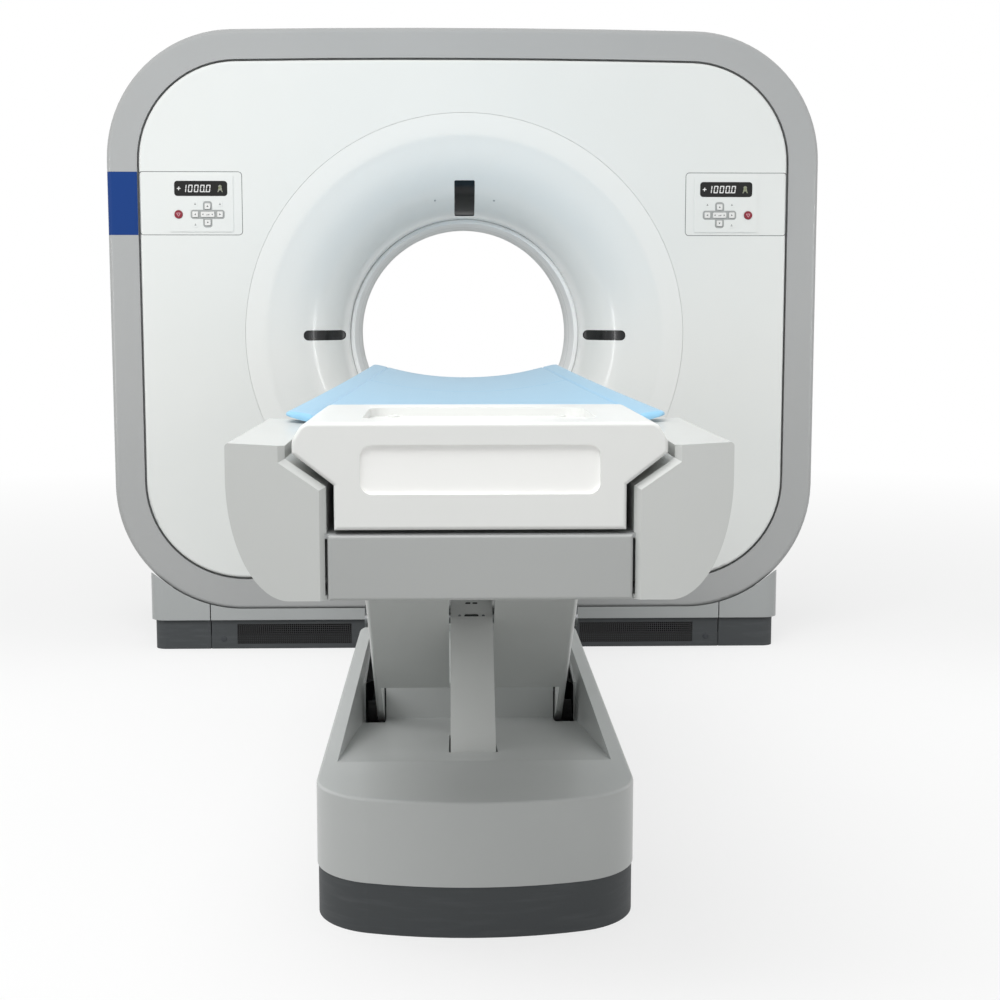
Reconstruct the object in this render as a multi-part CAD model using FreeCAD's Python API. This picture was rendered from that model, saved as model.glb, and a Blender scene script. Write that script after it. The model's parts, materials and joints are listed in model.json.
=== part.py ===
import FreeCAD, Part
import math
import os

Vector = FreeCAD.Vector

# Frame: origin on the floor under the middle of the whole scanner, +X to the viewer's
# right when standing at the foot of the table, +Y from the table into the gantry, +Z up.
# All sizes in millimetres. The 650 mm patient aperture is the scale of everything else.

# ---- scan axis and patient aperture ----
BORE_RADIUS = 325.0
ISO_Y = 1300.0

# ---- gantry shell ----
GANTRY_DEPTH = 850.0
SHELL_HALF_WIDTH = 1000.5
SHELL_BELOW_AXIS = 787.2
SHELL_ABOVE_AXIS = 853.6
FLOOR_GAP = 12.7
SHELL_CORNER = 360.0
SHELL_CROWN = 34000.0
SHELL_EDGE = 14.0
SKIN = 4.0
BAND_SIDE = 85.5
BAND_TOP = 83.0
BAND_BOTTOM = 89.0
OPENING_CORNER = 283.0
GROOVE = 6.0
LIP_DEPTH = 25.0
LEDGE_WIDTH = 16.0

# ---- front and rear covers, funnels and bore rings ----
COVER_PROUD = 6.0
COVER_EDGE = 8.0
SEAM_RADIUS = 620.0
SEAM_GAP = 0.8
FUNNEL_RIM = 20.0
FUNNEL_DEPTH = 226.0
RING_WIDTH = 13.0
RING_NOSE = 6.0
RING_EDGE = 3.5
RING_FLANGE = 18.0
RING_FLANGE_THICK = 6.0
WINDOW_HALF = 15.0
FIT_GAP = 0.3
JOIN_LAP = 10.0
OVERRUN = 10.0

# ---- positioning laser windows in the front funnel ----
SIDE_LASER_INNER = 348.0
SIDE_LASER_OUTER = 460.0
SIDE_LASER_HEIGHT = 29.0
SIDE_LASER_CORNER = 13.0
TOP_LASER_INNER = 345.0
TOP_LASER_OUTER = 438.0
TOP_LASER_WIDTH = 58.0
LASER_RECESS = 2.0
LASER_THICK = 3.0

# ---- control panels ----
PANEL_ABOVE_AXIS = 281.1
PANEL_WIDTH = 377.5
PANEL_HEIGHT = 175.0
PANEL_CORNER = 10.0
PAD_WIDTH = 179.0
PAD_HEIGHT = 156.0
PAD_IN = 114.5
PAD_UP = 87.0
PAD_RAISE = 2.5
DISPLAY_WIDTH = 148.0
DISPLAY_HEIGHT = 42.0
DISPLAY_CORNER = 9.0
DISPLAY_UP = 128.5
DISPLAY_DEPTH = 2.0
KEYPAD_UP = 57.0
KEYPAD_INWARD = 18.0
STOP_OUTWARD = 63.0
STOP_RADIUS = 11.5
ARROW_KEY = 16.0
ARROW_STEP_X = 34.6
ARROW_STEP_Z = 22.6
CENTRE_KEY_WIDTH = 38.0
CENTRE_KEY_HEIGHT = 15.0
CROSS_LONG = 96.0
CROSS_TALL = 73.0
CROSS_ARM = 25.0
CROSS_RECESS = 0.8
SMALL_KEY = 14.0
SMALL_KEY_RAISE = 0.8
SMALL_KEY_STEP_Z = 28.5
KEY_GAP = 0.5
KEY_PROUD = 2.5
KEY_BEHIND = 5.0
KEY_CORNER = 2.5
KEY_EDGE = 0.8

# ---- name plate (bare) on the band ----
PLATE_THICK = 1.5

# ---- tilting frame and trunnions ----
STATOR_OUTER = 700.0
STATOR_INNER = 500.0
STATOR_Y = 1390.0
STATOR_THICK = 60.0
CHEEK_LAP = 60.0
CHEEK_TO_POST = 55.0
CHEEK_HALF_HEIGHT = 150.0
CHEEK_FRONT_Y = 1240.0
TRUNNION_RADIUS = 45.0
RUNNING_GAP = 0.05
STAY_X0 = 100.0
STAY_X1 = 180.0
SIDE_STAY_Z = 150.0
SIDE_STAY_HEIGHT = 50.0
STAY_LAP = 40.0

# ---- rotor ----
ROTOR_OUTER = 640.0
ROTOR_INNER = 380.0
ROTOR_THICK = 30.0
ROTOR_GAP = 15.0
HUB_INNER = 440.0
TUBE_ORBIT = 535.0
TUBE_RADIUS = 88.0
TUBE_LENGTH = 165.0
PORT_HALF_WIDTH = 45.0
PORT_HALF_LENGTH = 30.0
PORT_DROP = 25.0
DETECTOR_INNER = 520.0
DETECTOR_OUTER = 605.0
DETECTOR_LENGTH = 95.0
DETECTOR_HALF_ANGLE = 28.0
GENERATOR_X0 = 430.0
GENERATOR_X1 = 590.0
GENERATOR_HALF_HEIGHT = 135.0
GENERATOR_LENGTH = 145.0

# ---- floor-standing gantry base ----
BEAM_TO_POST = 55.0
BEAM_HEIGHT = 30.0
TIE_HEIGHT = 40.0
TIE_WIDTH = 70.0
PAN_THICK = 4.0
POST_SETBACK = 40.0
POST_WIDTH = 50.0
POST_HALF_DEPTH = 60.0
POST_HEAD = 76.0
BEARING_OUTER = 68.0
SLOT_MARGIN_X = 15.0
SLOT_HALF_DEPTH = 350.0
GEARBOX_RADIUS = 74.0
GEARBOX_DEPTH = 62.0
TILT_MOTOR_RADIUS = 38.0
TILT_MOTOR_LENGTH = 210.0
TILT_MOTOR_LAP = 20.0
TILT_MOTOR_OFFSET = 10.0
BOLT_TO_BEAM = 60.0
BOLT_INSET_Y = 55.0
BOLT_HOLE = 9.0

# ---- gantry base covers ----
BASE_INSET = 90.0
BASE_PROUD = 6.0
BASE_CORNER = 45.0
BASE_SKIN = 4.0
BASE_RISE = 260.0
KICK_TOP = 86.0
KICK_INSET = 11.5
COVER_FLANGE = 3.0
SWEEP_GAP = 4.0
SWEEP_STEPS = 5
SEAM_INSET = 174.5
BASE_SEAM = 3.0
GRILLE_WIDTH = 330.0
GRILLE_TO_SEAM = 75.0
GRILLE_Z0 = 14.0
GRILLE_Z1 = 72.0
GRILLE_THICK = 2.0
GRILLE_SLOTS = 22
GRILLE_ROWS = 3
GRILLE_WEB = 5.0

# ---- table pedestal ----
PED_HALF_WIDTH = 257.5
PED_FORWARD = 318.0
PED_BEHIND = 200.0
PED_NOSE = 600.0
PED_CORNER = 122.0
PED_REAR_CORNER = 92.0
PED_TOP = 218.0
PED_KICK_TOP = 82.0
PED_KICK_INSET = 2.0
PED_SKIN = 5.0
PED_RIM = 27.0
PED_EDGE = 5.0
LIP_FORWARD = 86.0
DECK_FOOT_LEAD = 41.6
DECK_FOOT_Z = 87.0
HUMP_LEAD = 24.6
HUMP_Z = 165.0
HUMP_REAR_Z = 200.0
ARM_SLOT_START = 48.0
ARM_SLOT_END = 356.0
LANE_LEAD = 98.6
LANE_GAP = 3.5
LANE_CORNER = 5.0
PLATE_HEIGHT = 12.0
TRACK_LEAD = 40.0
TABLE_BOLT_X = 300.0
TABLE_BOLT_Y = 1080.0

# ---- scissor lift ----
LIFT_ANGLE = 37.5
PIVOT_Y = -996.0
PIVOT_Z = 95.0
ARM_LENGTH = 936.0
INNER_HALF_WIDTH = 40.5
INNER_DEPTH = 60.0
INNER_TIP_DEPTH = 36.0
INNER_TIP_HALF_WIDTH = 24.0
INNER_TIP_LENGTH = 70.0
INNER_COVER_START = 30.0
INNER_COVER_END = 437.0
INNER_COVER_THICK = 2.0
OUTER_HALF_WIDTH = 201.0
OUTER_CHEEK = 15.0
OUTER_EDGE = 9.0
OUTER_DEPTH = 60.0
OUTER_TIP_RADIUS = 20.0
OUTER_TIP_LENGTH = 70.0
OUTER_PLATE = 8.0
OUTER_PLATE_END = 274.0
OUTER_SLOT_TOP = 135.0
OUTER_PANEL_END = 40.0
ARM_SIDE_GAP = 3.0
CROSS_PIN_RADIUS = 16.0
CROSS_PIN_HEAD = 22.0
CROSS_PIN_CAP = 5.0
CROSS_PIN_GAP = 1.0
BASE_PIN_RADIUS = 18.0
BRACKET_GAP = 4.0
BRACKET_THICK = 14.0
BRACKET_HALF_DEPTH = 38.0
STUB_RADIUS = 10.0
ROLLER_GAP = 2.0
LOWER_ROLLER = 25.0
LOWER_ROLLER_WIDTH = 20.0
UPPER_ROLLER = 22.0
UPPER_ROLLER_WIDTH = 18.0
LIFT_GEARBOX_RADIUS = 44.0
LIFT_GEARBOX_LENGTH = 46.0
LIFT_MOTOR_RADIUS = 40.0
LIFT_MOTOR_LENGTH = 170.0
LIFT_MOTOR_FOOT = 4.0

# ---- table top ----
TABLE_FORWARD = 735.0
TABLE_LENGTH = 2306.0
BEAM_GAP = 7.0
BEAM_WIDTH = 30.0
BEAM_DEPTH = 72.0
DECK_THICK = 6.0
FRAME_TIE = 40.0
FRAME_TIE_RISE = 10.0
RAIL_GAP = 7.0
RAIL_WIDTH = 24.0
RAIL_HEIGHT = 40.0
PAD_LENGTH = 90.0
PAD_HALF_GAP = 120.0

CHANNEL_HALF = 193.0
CHANNEL_FLARE = 50.5
CHANNEL_NECK_RISE = 19.5
CHANNEL_FLARE_RISE = 35.0
WING_HALF_WIDTH = 317.0
WING_TOP_RISE = 71.0
WING_CREST = 4.0
WING_DROP = 6.0
WING_LENGTH = 470.0
WING_SKIN = 6.0
WING_EDGE = 4.0
WING_CHAMFER = 8.0
WING_CORNER = 5.0
WING_FLANK = 40.0
WING_TUCK = 78.0
FAIRING_DEPTH = 330.0
FAIRING_DROP = 1.0
HOUSING_SEAM = 1.5

CAP_LENGTH = 391.0
CAP_TOP_RISE = 100.0
CAP_HANG = 35.0
CAP_GAP = 10.0
CAP_NECK_RISE = 2.0
CAP_SHOULDER_IN = 9.0
CAP_SHOULDER_RISE = 7.0
CAP_HEAD_RISE = 16.0
CAP_HEAD_IN = 14.0
CAP_TOP_CORNER = 17.0
CAP_HEAD_CORNER = 20.0
CAP_EDGE = 5.0
CAP_RECESS_HALF = 150.0
CAP_RECESS_RISE = 10.0
CAP_RECESS_HEIGHT = 62.0
CAP_RECESS_CORNER = 15.0
CAP_RECESS_DEPTH = 4.0
TRAY_HALF = 152.0
TRAY_FRONT = 70.0
TRAY_LENGTH = 240.0
TRAY_DEPTH = 12.0
TRAY_CORNER = 30.0
STUD_RADIUS = 8.0
STUD_HEIGHT = 2.0
STUD_INSET = 34.0

CRADLE_LENGTH = 2104.0
CRADLE_HALF = 236.0
CRADLE_KEEL_GAP = 10.0
CRADLE_SLOPE_GAP = 8.5
CRADLE_DISH = 960.0
CRADLE_DEPTH = 40.2
CRADLE_EDGE_IN = 3.0
CRADLE_EDGE_DROP = 9.0
RUNNER_BEHIND = 50.0
RUNNER_LENGTH = 250.0
RUNNER_RISE = 25.0

MAT_NEAR_HALF = 279.0
MAT_FAR_HALF = 256.0
MAT_THICK = 11.0
MAT_END_GAP = 5.0
MAT_EDGE_DRAFT = 3.0

# ---- derived places ----
ISO_Z = (math.hypot(GANTRY_DEPTH / 2 - SHELL_EDGE, SHELL_BELOW_AXIS - SHELL_EDGE)
         + SHELL_EDGE + FLOOR_GAP)
SHELL_BOTTOM = ISO_Z - SHELL_BELOW_AXIS
SHELL_TOP = ISO_Z + SHELL_ABOVE_AXIS
PANEL_BOTTOM = ISO_Z + PANEL_ABOVE_AXIS
PANEL_TOP = PANEL_BOTTOM + PANEL_HEIGHT
PANEL_INNER_X = SHELL_HALF_WIDTH - PANEL_WIDTH
PAD_CENTRE_X = PANEL_INNER_X + PAD_IN
PAD_CENTRE_Z = PANEL_BOTTOM + PAD_UP
DISPLAY_CENTRE_Z = PANEL_BOTTOM + DISPLAY_UP
KEYPAD_X = PAD_CENTRE_X - KEYPAD_INWARD
KEYPAD_Z = PANEL_BOTTOM + KEYPAD_UP
STOP_X = PAD_CENTRE_X + STOP_OUTWARD
BASE_HALF_WIDTH = SHELL_HALF_WIDTH - BASE_INSET
POST_OUTER = BASE_HALF_WIDTH - POST_SETBACK
POST_INNER = POST_OUTER - POST_WIDTH
BEAM_INNER = POST_INNER - BEAM_TO_POST
CHEEK_OUTER = POST_INNER - CHEEK_TO_POST
CHEEK_INNER = STATOR_OUTER - CHEEK_LAP
SEAM_X = BASE_HALF_WIDTH - SEAM_INSET
GRILLE_X1 = SEAM_X - GRILLE_TO_SEAM
GRILLE_X0 = GRILLE_X1 - GRILLE_WIDTH
GF = ISO_Y - GANTRY_DEPTH / 2
GR = ISO_Y + GANTRY_DEPTH / 2
COVER_FACE = GF - COVER_PROUD
FUNNEL_END = COVER_FACE + FUNNEL_DEPTH
RING_OUTER = BORE_RADIUS + RING_WIDTH
LIFT_RAD = math.radians(LIFT_ANGLE)
HALF_ARM = ARM_LENGTH / 2
MID_Y = PIVOT_Y + HALF_ARM * math.cos(LIFT_RAD)
MID_Z = PIVOT_Z + HALF_ARM * math.sin(LIFT_RAD)
TOP_PIVOT_Z = PIVOT_Z + ARM_LENGTH * math.sin(LIFT_RAD)
FAR_PIVOT_Y = PIVOT_Y + ARM_LENGTH * math.cos(LIFT_RAD)
DECK_Z = TOP_PIVOT_Z + UPPER_ROLLER + FIT_GAP
PED_FRONT = PIVOT_Y - PED_FORWARD
PED_REAR = PIVOT_Y + ARM_LENGTH + PED_BEHIND
LIP_Y = PIVOT_Y - LIP_FORWARD
DECK_FOOT_Y = FAR_PIVOT_Y - DECK_FOOT_LEAD
HUMP_Y = FAR_PIVOT_Y - HUMP_LEAD
LANE_FRONT = FAR_PIVOT_Y - LANE_LEAD
LANE_INNER = OUTER_HALF_WIDTH - OUTER_CHEEK - LANE_GAP
LANE_OUTER = PED_HALF_WIDTH - PED_RIM - LANE_GAP
BEAM_X0 = OUTER_HALF_WIDTH + BEAM_GAP
BEAM_X1 = BEAM_X0 + BEAM_WIDTH
BEAM_Z0 = DECK_Z - BEAM_DEPTH
TABLE_FRONT = PIVOT_Y - TABLE_FORWARD
TABLE_REAR = TABLE_FRONT + TABLE_LENGTH
WING_REAR = TABLE_FRONT + WING_LENGTH
CAP_REAR = TABLE_FRONT + CAP_LENGTH
RAIL_X0 = CHANNEL_HALF + RAIL_GAP
RAIL_X1 = RAIL_X0 + RAIL_WIDTH
RAIL_TOP = DECK_Z + DECK_THICK + RAIL_HEIGHT
CHANNEL_SHOULDER = CHANNEL_HALF + CHANNEL_FLARE
CHANNEL_NECK_Z = RAIL_TOP + CHANNEL_NECK_RISE
CHANNEL_SHOULDER_Z = CHANNEL_NECK_Z + CHANNEL_FLARE_RISE
WING_TOP = RAIL_TOP + WING_TOP_RISE
WING_BOTTOM = BEAM_Z0 - WING_DROP
FAIRING_TOP = DECK_Z + DECK_THICK - FAIRING_DROP
CAP_TOP = RAIL_TOP + CAP_TOP_RISE
CAP_BOTTOM = RAIL_TOP - CAP_HANG
CRADLE_KEEL = CHANNEL_HALF - CRADLE_KEEL_GAP
CRADLE_BOTTOM = RAIL_TOP + FIT_GAP
CRADLE_TOP_CENTRE = CRADLE_BOTTOM + CRADLE_DEPTH
RUNNER_FRONT = WING_REAR + RUNNER_BEHIND
RUNNER_TOP = RAIL_TOP + RUNNER_RISE


# ---------------------------------------------------------------- helpers

def box(x0, x1, y0, y1, z0, z1):
    """Block between two opposite corners."""
    return Part.makeBox(x1 - x0, y1 - y0, z1 - z0, Vector(x0, y0, z0))


def both_sides(shape):
    """The shape and its mirror image about the middle plane, as a list."""
    return [shape, shape.mirror(Vector(0, 0, 0), Vector(1, 0, 0))]


def rear_twin(shape):
    """Mirror image about the scan plane."""
    return shape.mirror(Vector(0, ISO_Y, 0), Vector(0, 1, 0))


def joined(shapes):
    """One solid from pieces that meet."""
    result = shapes[0]
    for other in shapes[1:]:
        result = result.fuse(other)
    return result.removeSplitter()


def rod_x(radius, x0, x1, y, z):
    """Round bar along X."""
    return Part.makeCylinder(radius, x1 - x0, Vector(x0, y, z), Vector(1, 0, 0))


def ring_x(inner, outer, x0, x1, y, z):
    """Round bush along X."""
    return rod_x(outer, x0, x1, y, z).cut(rod_x(inner, x0 - 1, x1 + 1, y, z))


def rod_bore(radius, y0, y1):
    """Round bar on the scan axis."""
    return Part.makeCylinder(radius, y1 - y0, Vector(0, y0, ISO_Z), Vector(0, 1, 0))


def ring_bore(inner, outer, y0, y1):
    """Ring on the scan axis."""
    return rod_bore(outer, y0, y1).cut(rod_bore(inner, y0 - 1, y1 + 1))


def polygon_x(points, x0, x1):
    """Prism along X with its section given as (y, z) points."""
    wire = Part.makePolygon([Vector(x0, y, z) for y, z in points + points[:1]])
    return Part.Face(wire).extrude(Vector(x1 - x0, 0, 0))


def polygon_y(points, y0, y1):
    """Prism along Y with its section given as (x, z) points."""
    wire = Part.makePolygon([Vector(x, y0, z) for x, z in points + points[:1]])
    return Part.Face(wire).extrude(Vector(0, y1 - y0, 0))


def edges_at_y(shape, y):
    """Edges that lie in the plane of this y."""
    return [e for e in shape.Edges if abs(e.BoundBox.YMin - y) < 0.01 and abs(e.BoundBox.YMax - y) < 0.01]


def edges_at_z(shape, z):
    """Edges that lie in the plane of this z."""
    return [e for e in shape.Edges if abs(e.BoundBox.ZMin - z) < 0.01 and abs(e.BoundBox.ZMax - z) < 0.01]


def upright_edges(shape):
    """Straight edges that run along Z."""
    return [e for e in shape.Edges if e.BoundBox.ZLength > 1 and e.BoundBox.XLength < 0.01
            and e.BoundBox.YLength < 0.01]


def edges_along_y(shape):
    """Straight edges that run along Y."""
    return [e for e in shape.Edges if e.BoundBox.YLength > 0.5 and e.BoundBox.XLength < 0.01
            and e.BoundBox.ZLength < 0.01]


def rounded_bar_y(width, height, corner, x, z, y0, y1):
    """Bar along Y with a rounded rectangular section about (x, z)."""
    bar = box(x - width / 2, x + width / 2, y0, y1, z - height / 2, z + height / 2)
    return bar.makeFillet(corner, edges_along_y(bar))


def export(shape, name):
    """Write one node."""
    shape.exportStep(os.path.join("parts", name + ".step"))


# ---------------------------------------------------------------- gantry shell

def shell_prism(inset, y0, y1):
    """Prism of the gantry's outline, drawn in by the inset, with its slightly crowned top."""
    return outline_prism(SHELL_HALF_WIDTH - inset, SHELL_BOTTOM + inset, SHELL_TOP - inset,
                         SHELL_CORNER - inset, SHELL_CROWN - inset, y0, y1)


def opening_prism(inset, y0, y1):
    """Prism of the opening inside the band, drawn in by the inset."""
    return outline_prism(SHELL_HALF_WIDTH - BAND_SIDE - inset, SHELL_BOTTOM + BAND_BOTTOM + inset,
                         SHELL_TOP - BAND_TOP - inset, OPENING_CORNER - inset,
                         SHELL_CROWN - BAND_TOP - inset, y0, y1)


def outline_prism(half_width, bottom, top, corner, crown, y0, y1):
    """Rounded outline whose top edge is a long arc tangent to both upper corners."""
    cx = half_width - corner
    low_z = bottom + corner
    crown_z = top - crown
    high_z = crown_z + math.sqrt((crown - corner) ** 2 - cx ** 2)
    lean = math.atan2(cx, high_z - crown_z)
    diagonal = math.sqrt(0.5) * corner

    def point(x, z):
        return Vector(x, y0, z)

    def corner_point(side, angle):
        return point(side * (cx + corner * math.cos(angle)), high_z + corner * math.sin(angle))

    tangent = math.pi / 2 - lean
    right_top = corner_point(1, tangent)
    left_top = corner_point(-1, tangent)
    edges = [
        Part.makeLine(point(-cx, bottom), point(cx, bottom)),
        Part.Arc(point(cx, bottom), point(cx + diagonal, low_z - diagonal),
                 point(half_width, low_z)).toShape(),
        Part.makeLine(point(half_width, low_z), point(half_width, high_z)),
        Part.Arc(point(half_width, high_z), corner_point(1, tangent / 2), right_top).toShape(),
        Part.Arc(right_top, point(0, top), left_top).toShape(),
        Part.Arc(left_top, corner_point(-1, tangent / 2), point(-half_width, high_z)).toShape(),
        Part.makeLine(point(-half_width, high_z), point(-half_width, low_z)),
        Part.Arc(point(-half_width, low_z), point(-cx - diagonal, low_z - diagonal),
                 point(-cx, bottom)).toShape(),
    ]
    return Part.Face(Part.Wire(edges)).extrude(Vector(0, y1 - y0, 0))


def shell_solid(grow):
    """The closed outer form of the shell with its rounded front and rear edges."""
    block = shell_prism(-grow, GF - grow, GR + grow)
    ends = edges_at_y(block, GF - grow) + edges_at_y(block, GR + grow)
    return block.makeFillet(SHELL_EDGE + grow, ends)


def band_cover():
    """Grey band: outer wall, front and rear faces, lips and ledges, slots for the two posts."""
    band = shell_solid(0).cut(shell_solid(-SKIN))
    band = band.cut(opening_prism(0, GF - 1, GR + 1))
    lip_end = GF + LIP_DEPTH
    lip = opening_prism(-SKIN, GF, lip_end + SKIN).cut(opening_prism(0, GF - 1, lip_end))
    lip = lip.cut(opening_prism(LEDGE_WIDTH, lip_end - 1, lip_end + SKIN + 1))
    band = joined([band, lip, rear_twin(lip)])
    band = band.cut(plate_skin(0))
    slot = box(POST_INNER - SLOT_MARGIN_X, POST_OUTER + SLOT_MARGIN_X,
               ISO_Y - SLOT_HALF_DEPTH, ISO_Y + SLOT_HALF_DEPTH,
               SHELL_BOTTOM - OVERRUN, SHELL_BOTTOM + SHELL_CORNER / 2)
    for cut in both_sides(slot):
        band = band.cut(cut)
    return band


def plate_skin(gap):
    """Outermost skin of the band's left face and edge, level with the control panel."""
    skin = shell_solid(0).cut(shell_solid(-PLATE_THICK))
    inner_x = SHELL_HALF_WIDTH - BAND_SIDE
    zone = box(-SHELL_HALF_WIDTH - 1, -inner_x - gap, GF - 1, GF + LIP_DEPTH - gap,
               PANEL_BOTTOM + gap, PANEL_TOP - gap)
    return skin.common(zone)


def name_plate():
    """Bare plate let into the band so that it lies flush."""
    return plate_skin(FIT_GAP)


def cover_shell():
    """Moulded cover plate with its turned-back rim, before the panels are cut out."""
    back = COVER_FACE + SKIN
    rim_end = GF + LIP_DEPTH
    cover = opening_prism(GROOVE, COVER_FACE, rim_end)
    cover = cover.makeFillet(COVER_EDGE, edges_at_y(cover, COVER_FACE))
    cover = cover.cut(opening_prism(GROOVE + SKIN, back, rim_end + 1))
    cover = cover.cut(rod_bore(SEAM_RADIUS + SEAM_GAP, COVER_FACE - 1, rim_end))
    seat = ring_bore(SEAM_RADIUS - FUNNEL_RIM + SKIN, SEAM_RADIUS + FUNNEL_RIM, back, back + SKIN)
    return joined([cover, seat])


def panel_zone(side, gap):
    """Block that bounds one control panel, smaller by the gap on its free edges."""
    outer = SHELL_HALF_WIDTH
    middle = side * (PANEL_INNER_X + gap + outer) / 2
    return rounded_bar_y(outer - PANEL_INNER_X - gap, PANEL_HEIGHT - 2 * gap, PANEL_CORNER - gap, middle,
                         (PANEL_BOTTOM + PANEL_TOP) / 2, COVER_FACE - 1, GF + LIP_DEPTH + 1)


def front_cover(shell):
    """Front cover with the places of the two control panels cut out."""
    cover = shell
    for side in (-1, 1):
        cover = cover.cut(panel_zone(side, 0))
    return cover


def key_prism(kind, x, z, grow, y0, y1):
    """Outline of one key, grown by a gap, as a bar along Y."""
    if kind == "stop":
        return Part.makeCylinder(STOP_RADIUS + grow, y1 - y0, Vector(x, y0, z), Vector(0, 1, 0))
    width = CENTRE_KEY_WIDTH if kind == "centre" else ARROW_KEY
    height = CENTRE_KEY_HEIGHT if kind == "centre" else ARROW_KEY
    return rounded_bar_y(width + 2 * grow, height + 2 * grow, KEY_CORNER + grow, x, z, y0, y1)


def key_places(side):
    """Name, kind and centre of the six moving keys of one panel."""
    cx = side * KEYPAD_X
    return [
        ("stop", "stop", side * STOP_X, KEYPAD_Z),
        ("up", "arrow", cx, KEYPAD_Z + ARROW_STEP_Z),
        ("down", "arrow", cx, KEYPAD_Z - ARROW_STEP_Z),
        ("left", "arrow", cx - ARROW_STEP_X, KEYPAD_Z),
        ("right", "arrow", cx + ARROW_STEP_X, KEYPAD_Z),
        ("centre", "centre", cx, KEYPAD_Z),
    ]


def small_key_places(side):
    """Centres of the three small corner keys of one panel."""
    cx = side * KEYPAD_X
    return [
        (cx - ARROW_STEP_X, KEYPAD_Z + SMALL_KEY_STEP_Z),
        (cx + ARROW_STEP_X, KEYPAD_Z + SMALL_KEY_STEP_Z),
        (cx + side * ARROW_STEP_X, KEYPAD_Z - SMALL_KEY_STEP_Z),
    ]


def control_panel(shell, side):
    """Panel plate with its raised pad, display pocket, cross recess, key holes and corner keys."""
    cx = side * KEYPAD_X
    pad_x = side * PAD_CENTRE_X
    pad_face = COVER_FACE - PAD_RAISE
    back = COVER_FACE + SKIN
    plate = shell.common(panel_zone(side, SEAM_GAP))
    pad = rounded_bar_y(PAD_WIDTH, PAD_HEIGHT, SKIN, pad_x, PAD_CENTRE_Z, pad_face, COVER_FACE)
    raised = [plate, pad]
    for x, z in small_key_places(side):
        raised.append(rounded_bar_y(SMALL_KEY, SMALL_KEY, KEY_CORNER, x, z,
                                    pad_face - SMALL_KEY_RAISE, pad_face))
    panel = joined(raised)
    panel = panel.cut(rounded_bar_y(DISPLAY_WIDTH, DISPLAY_HEIGHT, DISPLAY_CORNER, pad_x,
                                    DISPLAY_CENTRE_Z, pad_face - 1, pad_face + DISPLAY_DEPTH))
    cross_end = pad_face + CROSS_RECESS
    panel = panel.cut(rounded_bar_y(CROSS_LONG, CROSS_ARM, SKIN, cx, KEYPAD_Z, pad_face - 1, cross_end))
    panel = panel.cut(rounded_bar_y(CROSS_ARM, CROSS_TALL, SKIN, cx, KEYPAD_Z, pad_face - 1, cross_end))
    for _, kind, x, z in key_places(side):
        panel = panel.cut(key_prism(kind, x, z, KEY_GAP, pad_face - 2, back + 1))
    return panel


def display(side):
    """Dark display glass that sits flush in its pocket."""
    pad_face = COVER_FACE - PAD_RAISE
    return rounded_bar_y(DISPLAY_WIDTH - 2 * FIT_GAP, DISPLAY_HEIGHT - 2 * FIT_GAP,
                         DISPLAY_CORNER - FIT_GAP, side * PAD_CENTRE_X, DISPLAY_CENTRE_Z,
                         pad_face, pad_face + DISPLAY_DEPTH)


def key_cap(kind, x, z):
    """Push key that stands proud of the pad and runs through the panel."""
    pad_face = COVER_FACE - PAD_RAISE
    front = pad_face - KEY_PROUD
    key = key_prism(kind, x, z, 0, front, COVER_FACE + SKIN + KEY_BEHIND)
    return key.makeFillet(KEY_EDGE, edges_at_y(key, front))


def bell_edge(inset):
    """Meridian of the funnel: a quarter ellipse from the bore ring out to the flat rim."""
    rim_inner = SEAM_RADIUS - FUNNEL_RIM
    reach = rim_inner - RING_OUTER - FIT_GAP
    steps = 8
    points = []
    for i in range(steps + 1):
        angle = math.pi / 2 * i / steps
        radius = rim_inner - (reach - inset) * math.cos(angle)
        depth = FUNNEL_END - (FUNNEL_DEPTH - inset) * math.sin(angle)
        points.append(Vector(0, depth, ISO_Z + radius))
    curve = Part.BSplineCurve()
    curve.interpolate(Points=points, InitialTangent=Vector(0, -1, 0), FinalTangent=Vector(0, 0, 1))
    return curve.toShape(), points[0], points[-1]


def bell_solid(front_inset, back_inset):
    """Body of revolution between two insets of the funnel's meridian, with its rim."""
    front, front_in, front_out = bell_edge(front_inset)
    back, back_in, back_out = bell_edge(back_inset)
    rim_z = ISO_Z + SEAM_RADIUS
    rim_front = Vector(0, front_out.y, rim_z)
    rim_back = Vector(0, back_out.y, rim_z)
    edges = [front, Part.makeLine(front_out, rim_front), Part.makeLine(rim_front, rim_back),
             Part.makeLine(rim_back, back_out), back, Part.makeLine(back_in, front_in)]
    face = Part.Face(Part.Wire(Part.__sortEdges__(edges)))
    return face.revolve(Vector(0, ISO_Y, ISO_Z), Vector(0, 1, 0), 360)


def laser_prisms(gap):
    """The three window outlines as bars through the funnel, smaller by the gap."""
    y0 = COVER_FACE - 1
    y1 = FUNNEL_END + 1
    side_x = (SIDE_LASER_INNER + SIDE_LASER_OUTER) / 2
    side_w = SIDE_LASER_OUTER - SIDE_LASER_INNER - 2 * gap
    side_h = SIDE_LASER_HEIGHT - 2 * gap
    top_z = ISO_Z + (TOP_LASER_INNER + TOP_LASER_OUTER) / 2
    top_h = TOP_LASER_OUTER - TOP_LASER_INNER - 2 * gap
    top_w = TOP_LASER_WIDTH - 2 * gap
    bars = both_sides(rounded_bar_y(side_w, side_h, SIDE_LASER_CORNER - gap, side_x, ISO_Z, y0, y1))
    bars.append(rounded_bar_y(top_w, top_h, SKIN - gap, 0, top_z, y0, y1))
    return bars


def front_funnel():
    """Bell-shaped funnel with the three laser windows cut through."""
    funnel = bell_solid(0, SKIN)
    for bar in laser_prisms(0):
        funnel = funnel.cut(bar)
    return funnel


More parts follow.
